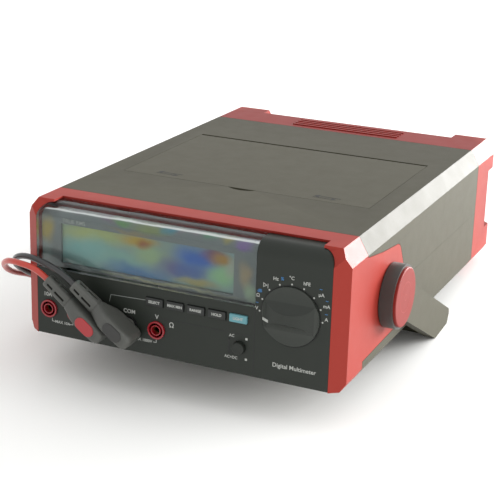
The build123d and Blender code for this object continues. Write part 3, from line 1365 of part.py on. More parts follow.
export_step(rear_panel.part, "parts/rear_panel.step")
export_step(mains_inlet.part, "parts/mains_inlet.step")
export_step(power_rocker.part, "parts/power_rocker.step")
export_step(power_switch.part, "parts/power_switch.step")
export_step(rubber_feet.part, "parts/rubber_feet.step")
export_step(lead_metal.part, "parts/lead_metal.step")
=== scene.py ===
import json
import math

import bmesh
import bpy
from mathutils import Matrix, Vector


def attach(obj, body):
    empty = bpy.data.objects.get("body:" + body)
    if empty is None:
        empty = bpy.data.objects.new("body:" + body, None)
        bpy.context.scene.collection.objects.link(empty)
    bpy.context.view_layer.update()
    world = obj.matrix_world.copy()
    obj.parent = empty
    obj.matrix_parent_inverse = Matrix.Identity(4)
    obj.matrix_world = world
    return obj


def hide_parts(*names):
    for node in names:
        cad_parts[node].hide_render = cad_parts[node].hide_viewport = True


# Bench multimeter: moulded ABS case, red bezels, clear acrylic window, rotary selector,
# sockets with two silicone test leads.  Lengths are millimetres in the case's own frame
# (X right seen from the front, Y back, Z up from the lower front edge) unless said otherwise.

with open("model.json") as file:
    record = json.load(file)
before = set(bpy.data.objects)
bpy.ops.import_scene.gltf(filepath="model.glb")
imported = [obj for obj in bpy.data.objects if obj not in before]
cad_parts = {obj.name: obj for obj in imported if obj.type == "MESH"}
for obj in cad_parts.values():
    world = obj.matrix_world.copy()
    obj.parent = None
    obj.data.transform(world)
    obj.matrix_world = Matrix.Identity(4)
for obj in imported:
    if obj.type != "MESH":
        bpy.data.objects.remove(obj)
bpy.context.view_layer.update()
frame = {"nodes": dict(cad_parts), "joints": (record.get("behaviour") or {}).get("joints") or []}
nodes = frame["nodes"]
joints = {joint["name"]: joint for joint in frame["joints"]}

MM = 0.001
HUB_Y, HUB_Z = 68.5, 38.5
HUB_CAP_X = 118.4          # outer face of a hub cap
PANEL_Y = -6.0             # face of the front panel
PROUD = 0.01               # printing stands this far off its surface
INK = 0.06                 # thickness of printed letters and marks
LINE = 0.05                # thickness of printed lines

# The case leans back on its handle: its axes come from a key's travel and the handle's pivot.
RIGHT = Vector((1, 0, 0))
BACK = Vector(joints["key_hold_press"]["axis"]).normalized()
UP = RIGHT.cross(BACK)
ORIGIN = Vector(joints["handle_pivot"]["pos_m"]) - (BACK * HUB_Y + UP * HUB_Z) * MM


def at(x, y, z):
    """A point of the case frame, in metres in the model's frame."""
    return ORIGIN + (RIGHT * x + BACK * y + UP * z) * MM


def facing(x, y, z, turn=0.0):
    """Matrix for flat work seen from the front: its X runs right, turned, its Z comes out."""
    across = RIGHT * math.cos(math.radians(turn)) + UP * math.sin(math.radians(turn))
    out = -BACK
    rise = out.cross(across)
    return placed(across, rise, out, at(x, y, z))


def upward(x, y, z, turn=0.0):
    """Matrix for flat work seen from above: its X runs right, turned, its Z points up."""
    across = RIGHT * math.cos(math.radians(turn)) + BACK * math.sin(math.radians(turn))
    return placed(across, UP.cross(across), UP, at(x, y, z))


def placed(x_axis, y_axis, z_axis, origin):
    matrix = Matrix((x_axis, y_axis, z_axis)).transposed().to_4x4()
    matrix.translation = origin
    return matrix


# ---------------------------------------------------------------- camera

EYE = at(355.7, -691.8, 331.9)
TARGET = at(-4.8, 107.5, 37.3)
ROLL = 0.0301

forward = (TARGET - EYE).normalized()
level_right = forward.cross(UP).normalized()
level_up = level_right.cross(forward)
camera = bpy.data.objects.new("camera", bpy.data.cameras.new("camera"))
camera.data.lens = 99.6
camera.data.sensor_width = 36
camera.data.clip_end = 20
camera.matrix_world = placed(
    level_right * math.cos(ROLL) + level_up * math.sin(ROLL),
    level_up * math.cos(ROLL) - level_right * math.sin(ROLL),
    -forward,
    EYE,
)
bpy.context.scene.collection.objects.link(camera)
bpy.context.scene.camera = camera

# ---------------------------------------------------------------- materials


def paint(code):
    """sRGB hex to linear RGBA."""
    shares = [int(code[i:i + 2], 16) / 255 for i in (1, 3, 5)]
    return (*[s / 12.92 if s <= 0.04045 else ((s + 0.055) / 1.055) ** 2.4 for s in shares], 1.0)


def add(material, kind, settings=None, **links):
    """A new node: lower-case settings are its own properties, others its sockets' values;
    links give the socket that feeds each input, by name with _ for a space, or by number."""
    node = material.node_tree.nodes.new(kind)
    for key, value in (settings or {}).items():
        if isinstance(key, str) and key[0].islower():
            setattr(node, key, value)
        else:
            node.inputs[key].default_value = value
    for key, source in links.items():
        name = int(key[1:]) if key[0] == "n" and key[1:].isdigit() else key.replace("_", " ")
        material.node_tree.links.new(source, node.inputs[name])
    return node


def shades(code, cloud):
    """A colour made darker and lighter by that share."""
    return [(*[min(1.0, share * change) for share in paint(code)[:3]], 1.0) for change in (1 - cloud, 1 + cloud)]


def new_material(name):
    material = bpy.data.materials.new(name)
    material.use_nodes = True
    material.node_tree.nodes.clear()
    return material


def finish_with(material, shader):
    add(material, "ShaderNodeOutputMaterial", Surface=shader.outputs[0])
    return material


def plastic(name, code, roughness, grain_mm=0.0, grain_um=0.0, cloud=0.10, worn=None, coat=0.0, specular=0.5):
    """Moulded plastic or rubber.  grain is the mould's spark-eroded texture: its pitch and
    height; cloud is how far the colour drifts across the moulding; worn is the colour that
    rubbed edges and corners take."""
    material = new_material(name)
    where = add(material, "ShaderNodeTexCoord").outputs["Object"]
    drift = add(material, "ShaderNodeTexNoise", {"Scale": 1 / (45 * MM), "Detail": 3.0}, Vector=where)
    dark, light = shades(code, cloud)
    drifting = add(material, "ShaderNodeMix", {"data_type": "RGBA", 6: dark, 7: light}, n0=drift.outputs["Fac"])
    colour = drifting.outputs[2]
    if worn:
        pointed = add(material, "ShaderNodeNewGeometry").outputs["Pointiness"]
        sharp = {"From Min": 0.52, "From Max": 0.60, "To Max": 0.55}
        edge = add(material, "ShaderNodeMapRange", sharp, Value=pointed)
        bare = {"data_type": "RGBA", 7: paint(worn)}
        rubbed = add(material, "ShaderNodeMix", bare, n0=edge.outputs[0], n6=colour)
        colour = rubbed.outputs[2]
    shader = add(
        material, "ShaderNodeBsdfPrincipled",
        {"IOR": 1.52, "Specular IOR Level": specular, "Coat Weight": coat, "Coat Roughness": 0.12},
        Base_Color=colour,
    )
    handled = {"Scale": 1 / (12 * MM), "Detail": 4.0, "Roughness": 0.6}
    smear = add(material, "ShaderNodeTexNoise", handled, Vector=where)
    span = {"To Min": roughness - 0.06, "To Max": roughness + 0.06}
    rough = add(material, "ShaderNodeMapRange", span, Value=smear.outputs["Fac"])
    material.node_tree.links.new(rough.outputs[0], shader.inputs["Roughness"])
    if grain_mm:
        fine = {"Scale": 1 / (grain_mm * MM), "Detail": 2.0, "Roughness": 0.55}
        grain = add(material, "ShaderNodeTexNoise", fine, Vector=where)
        depth = {"Strength": 0.6, "Distance": grain_um * 1e-6}
        bump = add(material, "ShaderNodeBump", depth, Height=grain.outputs["Fac"])
        material.node_tree.links.new(bump.outputs[0], shader.inputs["Normal"])
    return finish_with(material, shader)


def metal(name, code, roughness, pitch_mm=0.4, cloud=0.12):
    """Bare or plated metal, with fine turning or drawing lines a pitch apart."""
    material = new_material(name)
    where = add(material, "ShaderNodeTexCoord").outputs["Object"]
    lines = add(material, "ShaderNodeTexNoise", {"Scale": 1 / (pitch_mm * MM), "Detail": 3.0}, Vector=where)
    dark, light = shades(code, cloud)
    colour = add(material, "ShaderNodeMix", {"data_type": "RGBA", 6: dark, 7: light}, n0=lines.outputs["Fac"])
    span = {"To Min": roughness - 0.07, "To Max": roughness + 0.09}
    rough = add(material, "ShaderNodeMapRange", span, Value=lines.outputs["Fac"])
    shader = add(material, "ShaderNodeBsdfPrincipled", {"Metallic": 1.0},
                 Base_Color=colour.outputs[2], Roughness=rough.outputs[0])
    return finish_with(material, shader)


def blotched(name, ground, patches, roughness, coat=0.0):
    """Flat work behind the window, coloured by soft patches: centre x, z, reach across and
    up, strength, colour, in the case frame.  It is how strain in the moulded acrylic splits
    the polarised light that the display sends back."""
    material = new_material(name)
    where = add(material, "ShaderNodeTexCoord").outputs["Object"]
    ripple = add(material, "ShaderNodeTexNoise", {"Scale": 1 / (22 * MM), "Detail": 2.0}, Vector=where)
    middle = {"operation": "SUBTRACT", 1: (0.5, 0.5, 0.5)}
    offset = add(material, "ShaderNodeVectorMath", middle, n0=ripple.outputs["Color"])
    pushed = add(material, "ShaderNodeVectorMath", {"operation": "MULTIPLY_ADD", 1: (0.016, 0.0, 0.012)},
                 n0=offset.outputs[0], n2=where)
    colour = None
    for x, z, wide, high, strength, code in patches:
        centre = at(x, PANEL_Y, z)
        away = add(material, "ShaderNodeVectorMath", {"operation": "SUBTRACT", 1: centre}, n0=pushed.outputs[0])
        reach = {"operation": "MULTIPLY", 1: (1 / (wide * MM), 0.0, 1 / (high * MM))}
        scaled = add(material, "ShaderNodeVectorMath", reach, n0=away.outputs[0])
        far = add(material, "ShaderNodeVectorMath", {"operation": "LENGTH"}, n0=scaled.outputs[0])
        fade = {"interpolation_type": "SMOOTHSTEP", "From Min": 0.15, "From Max": 1.0,
                "To Min": strength, "To Max": 0.0}
        share = add(material, "ShaderNodeMapRange", fade, Value=far.outputs["Value"])
        mix = add(material, "ShaderNodeMix", {"data_type": "RGBA", 7: paint(code)}, n0=share.outputs[0])
        if colour:
            material.node_tree.links.new(colour, mix.inputs[6])
        else:
            mix.inputs[6].default_value = paint(ground)
        colour = mix.outputs[2]
    shader = add(
        material, "ShaderNodeBsdfPrincipled",
        {"Roughness": roughness, "Coat Weight": coat, "Coat Roughness": 0.05, "Specular IOR Level": 0.3},
        Base_Color=colour,
    )
    return finish_with(material, shader)


def clear_acrylic(name):
    """Polished moulded acrylic, thin enough that it doesn't bend what is behind it: it only
    tints it and mirrors more of the room at a low angle."""
    material = new_material(name)
    where = add(material, "ShaderNodeTexCoord").outputs["Object"]
    sink = add(material, "ShaderNodeTexNoise", {"Scale": 1 / (26 * MM), "Detail": 2.0}, Vector=where)
    bump = add(material, "ShaderNodeBump", {"Strength": 0.5, "Distance": 0.0012}, Height=sink.outputs["Fac"])
    through = add(material, "ShaderNodeBsdfTransparent", {"Color": paint("#eef1f0")})
    polish = {"Base Color": paint("#ffffff"), "Metallic": 1.0, "Roughness": 0.06}
    gloss = add(material, "ShaderNodeBsdfPrincipled", polish, Normal=bump.outputs[0])
    mirror = add(material, "ShaderNodeFresnel", {"IOR": 1.49}, Normal=bump.outputs[0])
    mirror_span = {"From Min": 0.02, "From Max": 1.0, "To Max": 0.75}
    share = add(material, "ShaderNodeMapRange", mirror_span, Value=mirror.outputs[0])
    both = add(material, "ShaderNodeMixShader", None,
               n0=share.outputs[0], n1=through.outputs[0], n2=gloss.outputs[0])
    return finish_with(material, both)


# ABS with a spark-eroded mould finish: a dry, even matt grey that goes pale at a low angle.
# The grain is taken as 0.35 mm on the part and is drawn at 0.9 mm so that it shows.
shell_grey = plastic("abs_olive_grey_spark_eroded", "#343125", 0.50, 0.9, 60, cloud=0.05, worn="#525042",
                     specular=0.18)
bezel_red = plastic("abs_red_spark_eroded", "#7a1a13", 0.45, 0.9, 40, cloud=0.05, worn="#a5382c", specular=0.22)
# Finer texture on the dark front moulding and the knob, drawn coarser than real, at 0.6 mm.
panel_dark = plastic("abs_charcoal_fine_texture", "#1d221c", 0.50, 0.6, 30, cloud=0.08, specular=0.35)
knob_dark = plastic("abs_charcoal_knob", "#1d211c", 0.46, 0.6, 25, cloud=0.08, worn="#383c37", specular=0.35)
key_dark = plastic("abs_black_satin_key", "#141715", 0.42, cloud=0.12, worn="#343734")
key_blue = plastic("abs_pale_blue_key", "#5a8f97", 0.42, cloud=0.05, worn="#7fb0b6")
jack_red = plastic("nylon_crimson_socket", "#8c0f1c", 0.30, cloud=0.06, coat=0.3)
jack_black = plastic("nylon_black_socket", "#141414", 0.32, cloud=0.10, coat=0.2)
black_satin = plastic("nylon_black_satin", "#1b1b1b", 0.45, cloud=0.10)
tray_dark = plastic("abs_charcoal_tray", "#2b2d2b", 0.55, 0.9, 50, cloud=0.08)
# Painted shade: the hub rings are handle plastic, made black to stand for the shade on their front-facing sides;
# the rubbed edges are real wear.
hub_shade_black = plastic("abs_hub_painted_shade", "#141513", 0.42, 0.7, 25, cloud=0.08, worn="#4a4b48")
foot_rubber = plastic("rubber_black_moulded", "#1c1c1b", 0.75, cloud=0.15)
mat_rubber = plastic("silicone_grey_keypad", "#9a9c9a", 0.55, cloud=0.05)
plug_grey = plastic("soft_pvc_grey_plug", "#454642", 0.50, 0.5, 25, cloud=0.08, worn="#6f706a")
inlay_red = plastic("abs_red_inlay", "#a02c30", 0.42, cloud=0.06)
inlay_black = plastic("abs_black_inlay", "#2a2a28", 0.42, cloud=0.10)
lead_red = plastic("silicone_red_lead", "#b02c18", 0.30, cloud=0.06, coat=0.5)
lead_black = plastic("silicone_black_lead", "#1d1e1e", 0.32, cloud=0.15, coat=0.4)
probe_red = plastic("abs_red_probe", "#a81f18", 0.40, cloud=0.06)
probe_black = plastic("abs_black_probe", "#191919", 0.40, cloud=0.12)
board_green = plastic("fr4_green_solder_mask", "#14502f", 0.35, 2.2, 60, cloud=0.25, coat=0.3)
acetal_white = plastic("acetal_natural", "#dcdcd4", 0.40, cloud=0.04)
fuse_body = plastic("ceramic_white_glazed", "#dfddd2", 0.18, cloud=0.04, coat=0.3)
cell_jacket = plastic("foil_jacket_slate", "#4a4f5c", 0.28, cloud=0.10, coat=0.5)
tape_yellow = plastic("polyester_tape_yellow", "#c9a43a", 0.30, 2.5, 80, cloud=0.08, coat=0.4)
light_guide = plastic("acrylic_frosted_guide", "#dfe6e8", 0.55, cloud=0.03)
brass = metal("brass_turned", "#c9a257", 0.30)
# Socket sleeves: brass darkened past its own colour to paint the shade inside the sockets' bores.
brass_bore_shade = metal("brass_darkened_bore_shade", "#5a4426", 0.45)
zinc_steel = metal("steel_zinc_plated", "#a9abac", 0.36)
nickel = metal("nickel_plated", "#c9c4ba", 0.22)
bronze = metal("phosphor_bronze_spring", "#b98550", 0.32)
core_iron = metal("iron_varnished_laminations", "#4b4c4e", 0.5, pitch_mm=0.5, cloud=0.3)
# Screen-printed ink sits flat and dull on the plastic; the dark line among these is no ink but painted shade.
ink_white = plastic("ink_white_screen_printed", "#a9aba6", 0.60, cloud=0.03)
ink_blue = plastic("ink_blue_screen_printed", "#2c6596", 0.60, cloud=0.04)
# Painted shade: this dark colour stands for the shade in moulded steps, in the gap round the selector and in
# debossed arrows.
shade_line_dark = plastic("painted_shade_dark_line", "#121412", 0.60, cloud=0.04)
ink_grey = plastic("ink_grey_line", "#7f837f", 0.60, cloud=0.04)
window_clear = clear_acrylic("acrylic_clear_polished")

# Centre x and z, reach across and up, strength and colour of each patch.
LCD_PATCHES = (
    (-62, 68, 36, 12, 1.0, "#b9c27c"), (-68, 57, 34, 12, 0.9, "#86c4c2"), (-40, 54, 30, 9, 0.8, "#8fc0b4"),
    (-28, 49, 36, 8, 0.95, "#3b78b4"), (-30, 70, 24, 7, 1.0, "#cfa92c"), (-26, 68, 10, 5, 1.0, "#a8590c"),
    (-20, 62, 24, 8, 0.8, "#a9c48c"), (-6, 66, 16, 10, 0.8, "#93a79a"), (-3, 56, 20, 9, 0.9, "#5d5a96"),
    (10, 65, 20, 12, 1.0, "#2567c8"), (6, 55, 16, 8, 0.8, "#3c66b4"), (20, 70, 11, 8, 0.9, "#7d4470"),
    (25, 67, 11, 8, 1.0, "#b8862e"), (27, 56, 14, 10, 1.0, "#9ccf9a"), (33, 62, 8, 10, 0.8, "#b4b8a6"),
    (10, 48.5, 20, 4.5, 0.9, "#b3a25a"),
)
lcd_face = blotched("lcd_polariser_stressed", "#8fa8a6", LCD_PATCHES, 0.30, coat=0.3)
SURROUND_PATCHES = (
    (-93, 68, 8, 12, 1.0, "#b8a040"), (-94, 56, 6, 10, 0.8, "#9aa7a4"), (-62, 80, 22, 3.2, 0.9, "#8a5c86"),
    (-44, 80, 12, 2.6, 0.9, "#6f9c62"), (-20, 79, 22, 4, 0.8, "#8f9a62"), (-6, 80, 9, 2.8, 0.9, "#3f8fa8"),
    (5, 80, 10, 3, 0.9, "#9a5a8c"), (18, 80, 10, 3, 0.9, "#4fa070"), (29, 80, 9, 3, 0.8, "#b0a04a"),
    (42, 78, 10, 4, 0.8, "#9070b0"), (-35, 75.5, 24, 2.4, 0.7, "#a08a62"), (43, 60, 7, 12, 0.8, "#b8a07c"),
    (46, 50, 6, 8, 0.7, "#a8c09c"), (-10, 45.6, 60, 1.6, 0.8, "#b8b48c"),
)
lcd_surround = blotched("abs_grey_display_surround", "#7f8486", SURROUND_PATCHES, 0.40)

FINISHES = (
    (shell_grey, "top_shell bottom_shell battery_cover storage_lid handle"),
    (bezel_red, "front_bezel rear_bezel hub_caps"),
    (panel_dark, "front_panel rear_panel"),
    (knob_dark, "selector_knob acdc_button"),
    (window_clear, "display_window"),
    (lcd_face, "lcd_glass"),
    (lcd_surround, "lcd_frame"),
    (light_guide, "lcd_backlight"),
    (board_green, "front_board main_board"),
    (mat_rubber, "key_mat"),
    (key_dark, "key_select key_max_min key_range key_hold power_rocker"),
    (key_blue, "key_light"),
    (jack_red, "jack_10a jack_ma jack_temperature jack_volt"),
    (jack_black, "jack_com"),
    (black_satin, "mains_inlet power_switch"),
    (brass, "pivot_bushes"),
    (brass_bore_shade, "jack_contacts"),
    (zinc_steel, "case_screws selector_shaft lid_hinge_pins pivot_bolts"),
    (nickel, "lead_metal"),
    (hub_shade_black, "hub_rings"),
    (bronze, "rotor_wipers"),
    (core_iron, "transformer_core"),
    (tape_yellow, "transformer_windings"),
    (fuse_body, "input_fuses"),
    (cell_jacket, "battery_cells"),
    (acetal_white, "selector_rotor detent_ring acdc_switch"),
    (tray_dark, "storage_tray"),
    (foot_rubber, "rubber_feet"),
    (inlay_red, "red_plug_inlay"),
    (inlay_black, "black_plug_inlay"),
    (probe_red, "red_probe"),
    (probe_black, "black_probe"),
)
for material, members in FINISHES:
    for name in members.split():
        nodes[name].data.materials.clear()
        nodes[name].data.materials.append(material)

# ---------------------------------------------------------------- pieces


def piece(name, mesh, material, body, smooth=True):
    """A finished piece of the object, riding on its body."""
    made = bpy.data.objects.new(name, mesh)
    bpy.context.scene.collection.objects.link(made)
    if material:
        mesh.materials.clear()
        mesh.materials.append(material)
    for face in mesh.polygons:
        face.use_smooth = smooth
    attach(made, body)
    return made


def from_bmesh(name, work):
    mesh = bpy.data.meshes.new(name)
    bmesh.ops.recalc_face_normals(work, faces=work.faces)
    work.to_mesh(mesh)
    work.free()
    return mesh


def add_outline(work, corners, matrix, thickness):
    """A flat shape given by its corners in millimetres, as a thin closed slab."""
    lower = [work.verts.new(matrix @ Vector((x * MM, y * MM, 0))) for x, y in corners]
    upper = [work.verts.new(matrix @ Vector((x * MM, y * MM, thickness * MM))) for x, y in corners]
    work.faces.new(upper)
    work.faces.new(lower[::-1])
    for here in range(len(corners)):
        after = (here + 1) % len(corners)
        work.faces.new((lower[here], lower[after], upper[after], upper[here]))


def strip(work, points, width, height, matrix_of):
    """A printed line of that width through points (x, z); each run is its own slab."""
    for (x0, z0), (x1, z1) in zip(points, points[1:]):
        run = Vector((x1 - x0, z1 - z0))
        turn = math.degrees(math.atan2(run.y, run.x))
        half = width / 2
        add_outline(work, [(-half, -half), (run.length + half, -half), (run.length + half, half), (-half, half)],
                    matrix_of(x0, z0, turn), height)


def disc(radius, sides=24):
    angles = [2 * math.pi * i / sides for i in range(sides)]
    return [(radius * math.cos(angle), radius * math.sin(angle)) for angle in angles]


def add_letters(work, text, size, matrix, thickness=0.06, bold=0.0):
    """Printed letters of that cap height in millimetres, centred, raised by the ink."""
    curve = bpy.data.curves.new("letters", "FONT")
    curve.body = text
    curve.size = size * MM / 0.72
    curve.align_x = "CENTER"
    curve.align_y = "CENTER"
    curve.extrude = thickness * MM / 2
    curve.offset = bold * MM
    curve.resolution_u = 3
    holder = bpy.data.objects.new("letters", curve)
    mesh = bpy.data.meshes.new_from_object(holder)
    mesh.transform(Matrix.Translation((0, 0, thickness * MM / 2)))
    mesh.transform(matrix)
    work.from_mesh(mesh)
    bpy.data.objects.remove(holder)
    bpy.data.curves.remove(curve)
    bpy.data.meshes.remove(mesh)


def on_panel(x, z, turn=0.0, proud=PROUD):
    return facing(x, PANEL_Y - proud, z, turn)


# Printing on the front panel.
KNOB_X, KNOB_Z = 73.7, 42.9
white = bmesh.new()
# Each setting's legend, its place from the knob's middle, and the direction of its dot.
SETTINGS = (("V", -21.6, 1.4, 180.0), ("Ω", -21.0, 9.4, 157.5), ("▷|", -16.3, 16.3, 135.0),
            ("Hz", -10.1, 21.4, 112.5), ("°C", -0.2, 23.4, 90.0), ("hFE", 9.2, 21.5, 67.5),
            ("µA", 18.3, 16.4, 45.0), ("mA", 21.8, 10.0, 22.5), ("A", 22.0, 2.1, 0.0))
DOT_REACH = 19.7
for text, dx, dz, degrees in SETTINGS:
    angle = math.radians(degrees)
    dot = on_panel(KNOB_X + DOT_REACH * math.cos(angle), KNOB_Z + DOT_REACH * math.sin(angle))
    add_outline(white, disc(0.55, 12), dot, INK)
    add_letters(white, text, 2.15, on_panel(KNOB_X + dx, KNOB_Z + dz), bold=0.05)
# Other words: text, cap height, middle x and z, weight.
WORDS = (("Digital Multimeter", 2.7, 77.0, 10.9, 0.04), ("COM", 2.6, -32.6, 26.2, 0.05),
         ("V", 2.8, -13.6, 26.0, 0.05), ("Ω", 3.2, -3.6, 22.5, 0.05), ("10A", 2.6, -91.0, 26.8, 0.05),
         ("mA", 2.6, -71.0, 26.2, 0.05), ("MAX 10A", 1.9, -80.5, 9.4, 0.04), ("MAX 1000V", 1.9, -23.4, 9.4, 0.04),
         ("AC", 1.8, 36.6, 24.0, 0.03), ("AC+DC", 1.8, 36.4, 10.2, 0.03))
for text, size, x, z, weight in WORDS:
    add_letters(white, text, size, on_panel(x, z), bold=weight)
# Square marks beside the button, one for each of its positions.
for x, z in ((46.2, 23.4), (46.2, 10.4)):
    add_outline(white, [(-0.7, -0.7), (0.7, -0.7), (0.7, 0.7), (-0.7, 0.7)], on_panel(x, z), INK)
# Brackets that tie each rating to its socket.
for bracket in (((-88.0, 11.2), (-88.0, 9.4), (-85.6, 9.4)), ((-75.4, 9.4), (-73.0, 9.4), (-73.0, 11.2)),
                ((-32.9, 9.4), (-30.9, 9.4)), ((-15.9, 9.4), (-13.9, 9.4), (-13.9, 11.0))):
    strip(white, bracket, 0.35, LINE, on_panel)
piece("panel_print_white", from_bmesh("panel_print_white", white), ink_white, "root", smooth=False)

blue = bmesh.new()
for text, dx, dz in (("dB", -20.0, 12.4), ("~", -21.4, 5.0), ("%", -6.0, 22.0),
                     ("~", 17.9, 19.9), ("~", 21.9, 13.5), ("~", 21.8, 5.4)):
    add_letters(blue, text, 1.9, on_panel(KNOB_X + dx, KNOB_Z + dz), bold=0.10)
piece("panel_print_blue", from_bmesh("panel_print_blue", blue), ink_blue, "root", smooth=False)

grey = bmesh.new()
strip(grey, ((-46.6, 30.3), (-45.5, 34.8), (-21.6, 35.6)), 0.35, LINE, on_panel)
piece("panel_line_grey", from_bmesh("panel_line_grey", grey), ink_grey, "root", smooth=False)

# Painted shade: dark lines along the steps moulded between the fields of the panel, where their shade falls, and
# the bracket beside the button.
dark = bmesh.new()
strip(dark, ((51.1, 0.8), (51.1, 43.8)), 0.5, LINE, on_panel)
strip(dark, ((-50.0, 25.7), (50.9, 25.7)), 0.4, LINE, on_panel)
strip(dark, ((36.4, 21.8), (34.9, 21.8), (34.9, 13.0), (36.4, 13.0)), 0.9, LINE, on_panel)
piece("panel_step_shade_lines", from_bmesh("panel_step_shade_lines", dark), shade_line_dark, "root", smooth=False)

# Title printed on the display's surround, behind the window.
title = bmesh.new()
add_letters(title, "TRUE RMS", 2.6, facing(-74.5, -1.05, 75.0), bold=0.06)
piece("display_title", from_bmesh("display_title", title), ink_white, "root", smooth=False)

# Key legends.
KEY_FACE_Y = PANEL_Y - 1.3
KEY_FIRST_X, KEY_PITCH, KEY_Z = -15.0, 13.95, 35.5
KEY_WORDS = (("key_select", "SELECT"), ("key_max_min", "MAX MIN"), ("key_range", "RANGE"),
             ("key_hold", "HOLD"), ("key_light", "LIGHT"))
for place, (key, text) in enumerate(KEY_WORDS):
    legend = bmesh.new()
    add_letters(legend, text, 1.7, facing(KEY_FIRST_X + KEY_PITCH * place, KEY_FACE_Y - PROUD, KEY_Z), bold=0.07)
    name = key + "_legend"
    piece(name, from_bmesh(name, legend), ink_white, key + "_body", smooth=False)


def ring(work, radius, width, matrix, height, sides=72):
    """A flat printed or engraved ring."""
    rows = []
    inside, outside = radius - width / 2, radius + width / 2
    for r, z in ((inside, 0), (inside, height), (outside, height), (outside, 0)):
        rows.append([work.verts.new(matrix @ Vector((x * MM, y * MM, z * MM))) for x, y in disc(r, sides)])
    for row in range(4):
        inner, outer = rows[row], rows[(row + 1) % 4]
        for here in range(sides):
            after = (here + 1) % sides
            work.faces.new((inner[here], inner[after], outer[after], outer[here]))


# Pointer printed on the selector, at the left end of its grip bar.
pointer = bmesh.new()
ARCH_R, ARCH_Y = 27.4, 14.4        # radius and axis depth of the bar's arched front
POINTER_START, POINTER_SWEEP = -39.0, 12.0     # degrees round that arch
POINTER_HALF_H, POINTER_T = 0.85, 0.12
POINTER_STEPS = 6
POINTER_Z = KNOB_Z - 3.9
rows = []
for step in range(POINTER_STEPS + 1):
    lean = math.radians(POINTER_START + POINTER_SWEEP * step / POINTER_STEPS)
    row = []
    for out, rise in ((0, -1), (POINTER_T, -1), (POINTER_T, 1), (0, 1)):
        x = KNOB_X + (ARCH_R + out) * math.sin(lean)
        y = ARCH_Y - (ARCH_R + out) * math.cos(lean)
        row.append(pointer.verts.new(at(x, y, POINTER_Z + rise * POINTER_HALF_H)))
    rows.append(row)
for low, high in zip(rows, rows[1:]):
    for here in range(4):
        after = (here + 1) % 4
        pointer.faces.new((low[here], low[after], high[after], high[here]))
pointer.faces.new(rows[0])
pointer.faces.new(rows[-1][::-1])
piece("selector_pointer", from_bmesh("selector_pointer", pointer), ink_white, "selector_body",
      smooth=False)

# Painted shade: a dark ring set in the gap round the selector for the shade in it. Then the fine ring and boss
# mark on each hub cap.
gap_shade = bmesh.new()
ring(gap_shade, 18.45, 0.6, on_panel(KNOB_X, KNOB_Z, proud=-1.1), 0.9)
piece("selector_gap_shade", from_bmesh("selector_gap_shade", gap_shade), shade_line_dark, "root", smooth=False)

for side, word in ((-1, "left"), (1, "right")):
    matrix = placed(BACK * side, UP, RIGHT * side, at(side * HUB_CAP_X, HUB_Y, HUB_Z))
    marks = bmesh.new()
    ring(marks, 9.6, 0.35, matrix, 0.02)
    ring(marks, 1.9, 0.3, matrix, 0.02, sides=24)
    engraved = plastic(f"abs_red_engraved_{word}", "#8c2a22", 0.5)
    piece(f"hub_marks_{word}", from_bmesh("hub_marks", marks), engraved, "handle_body", smooth=False)

# Moulded arrows at the lid's front corners that show how it opens, drawn as dark marks that paint the shade in
# their debossed lines.
arrow_shade = bmesh.new()
LID_TOP = 86.8


def on_lid(x, y, turn=0.0):
    return upward(x, y, LID_TOP + PROUD, turn)


for x0 in (-56.0, 56.0):
    for left, right_end, y in ((-9, 2, 88.6), (-5, 8, 91.6)):
        strip(arrow_shade, ((x0 + left, y), (x0 + right_end, y)), 0.8, LINE, on_lid)
    add_outline(arrow_shade, [(-3.4, 0), (0, 3.0), (0, -3.0)], on_lid(x0 - 6, 91.6), LINE)
    add_outline(arrow_shade, [(0, 2.2), (3.4, 0), (0, -2.2)], on_lid(x0 + 3, 88.6), LINE)
piece("lid_arrow_shade", from_bmesh("lid_arrow_shade", arrow_shade), shade_line_dark, "lid_body", smooth=False)

# ---------------------------------------------------------------- test leads

JACK_FIRST_X, JACK_PITCH, JACK_Z = -90.0, 19.05, 17.6
CORD_DEPTH = 17.0
CORD_R = 1.95
SLANT = math.radians(143.5)
PLUG_TAIL = 40.0


def plug_point(place, along, across, y):
    """A point of a plug: along its slanting axis from the socket, across it, and at depth y."""
    x = JACK_FIRST_X + place * JACK_PITCH + along * math.cos(SLANT) - across * math.sin(SLANT)
    z = JACK_Z + along * math.sin(SLANT) + across * math.cos(SLANT)
    return at(x, y, z)


# Stations along a plug: distance, half width, front face, back face, squareness.
PLUG_STATIONS = (
    (-10.9, 2.6, -22.8, -11.0, 2.6), (-10.5, 3.9, -24.3, -9.0, 3.2), (-9.4, 4.8, -25.1, -8.0, 4.0),
    (-7.0, 5.3, -25.4, -7.6, 5.0), (0.0, 5.4, -25.5, -7.5, 5.5), (7.0, 5.4, -25.5, -7.6, 5.5),
    (11.0, 5.2, -25.2, -8.2, 5.0), (14.5, 4.9, -24.0, -9.8, 4.0), (17.5, 4.7, -22.6, -11.6, 3.4),
    (19.6, 4.6, -21.8, -12.4, 3.2), (20.2, 4.2, -21.3, -12.9, 3.0), (20.8, 4.5, -21.6, -12.5, 3.2),
    (30.0, 4.2, -21.3, -12.8, 3.2), (39.0, 3.9, -20.9, -13.1, 3.2), (39.8, 3.5, -20.5, -13.5, 3.0),
    (40.0, 2.6, -19.6, -14.4, 2.6),
)
PLUG_SIDES = 40


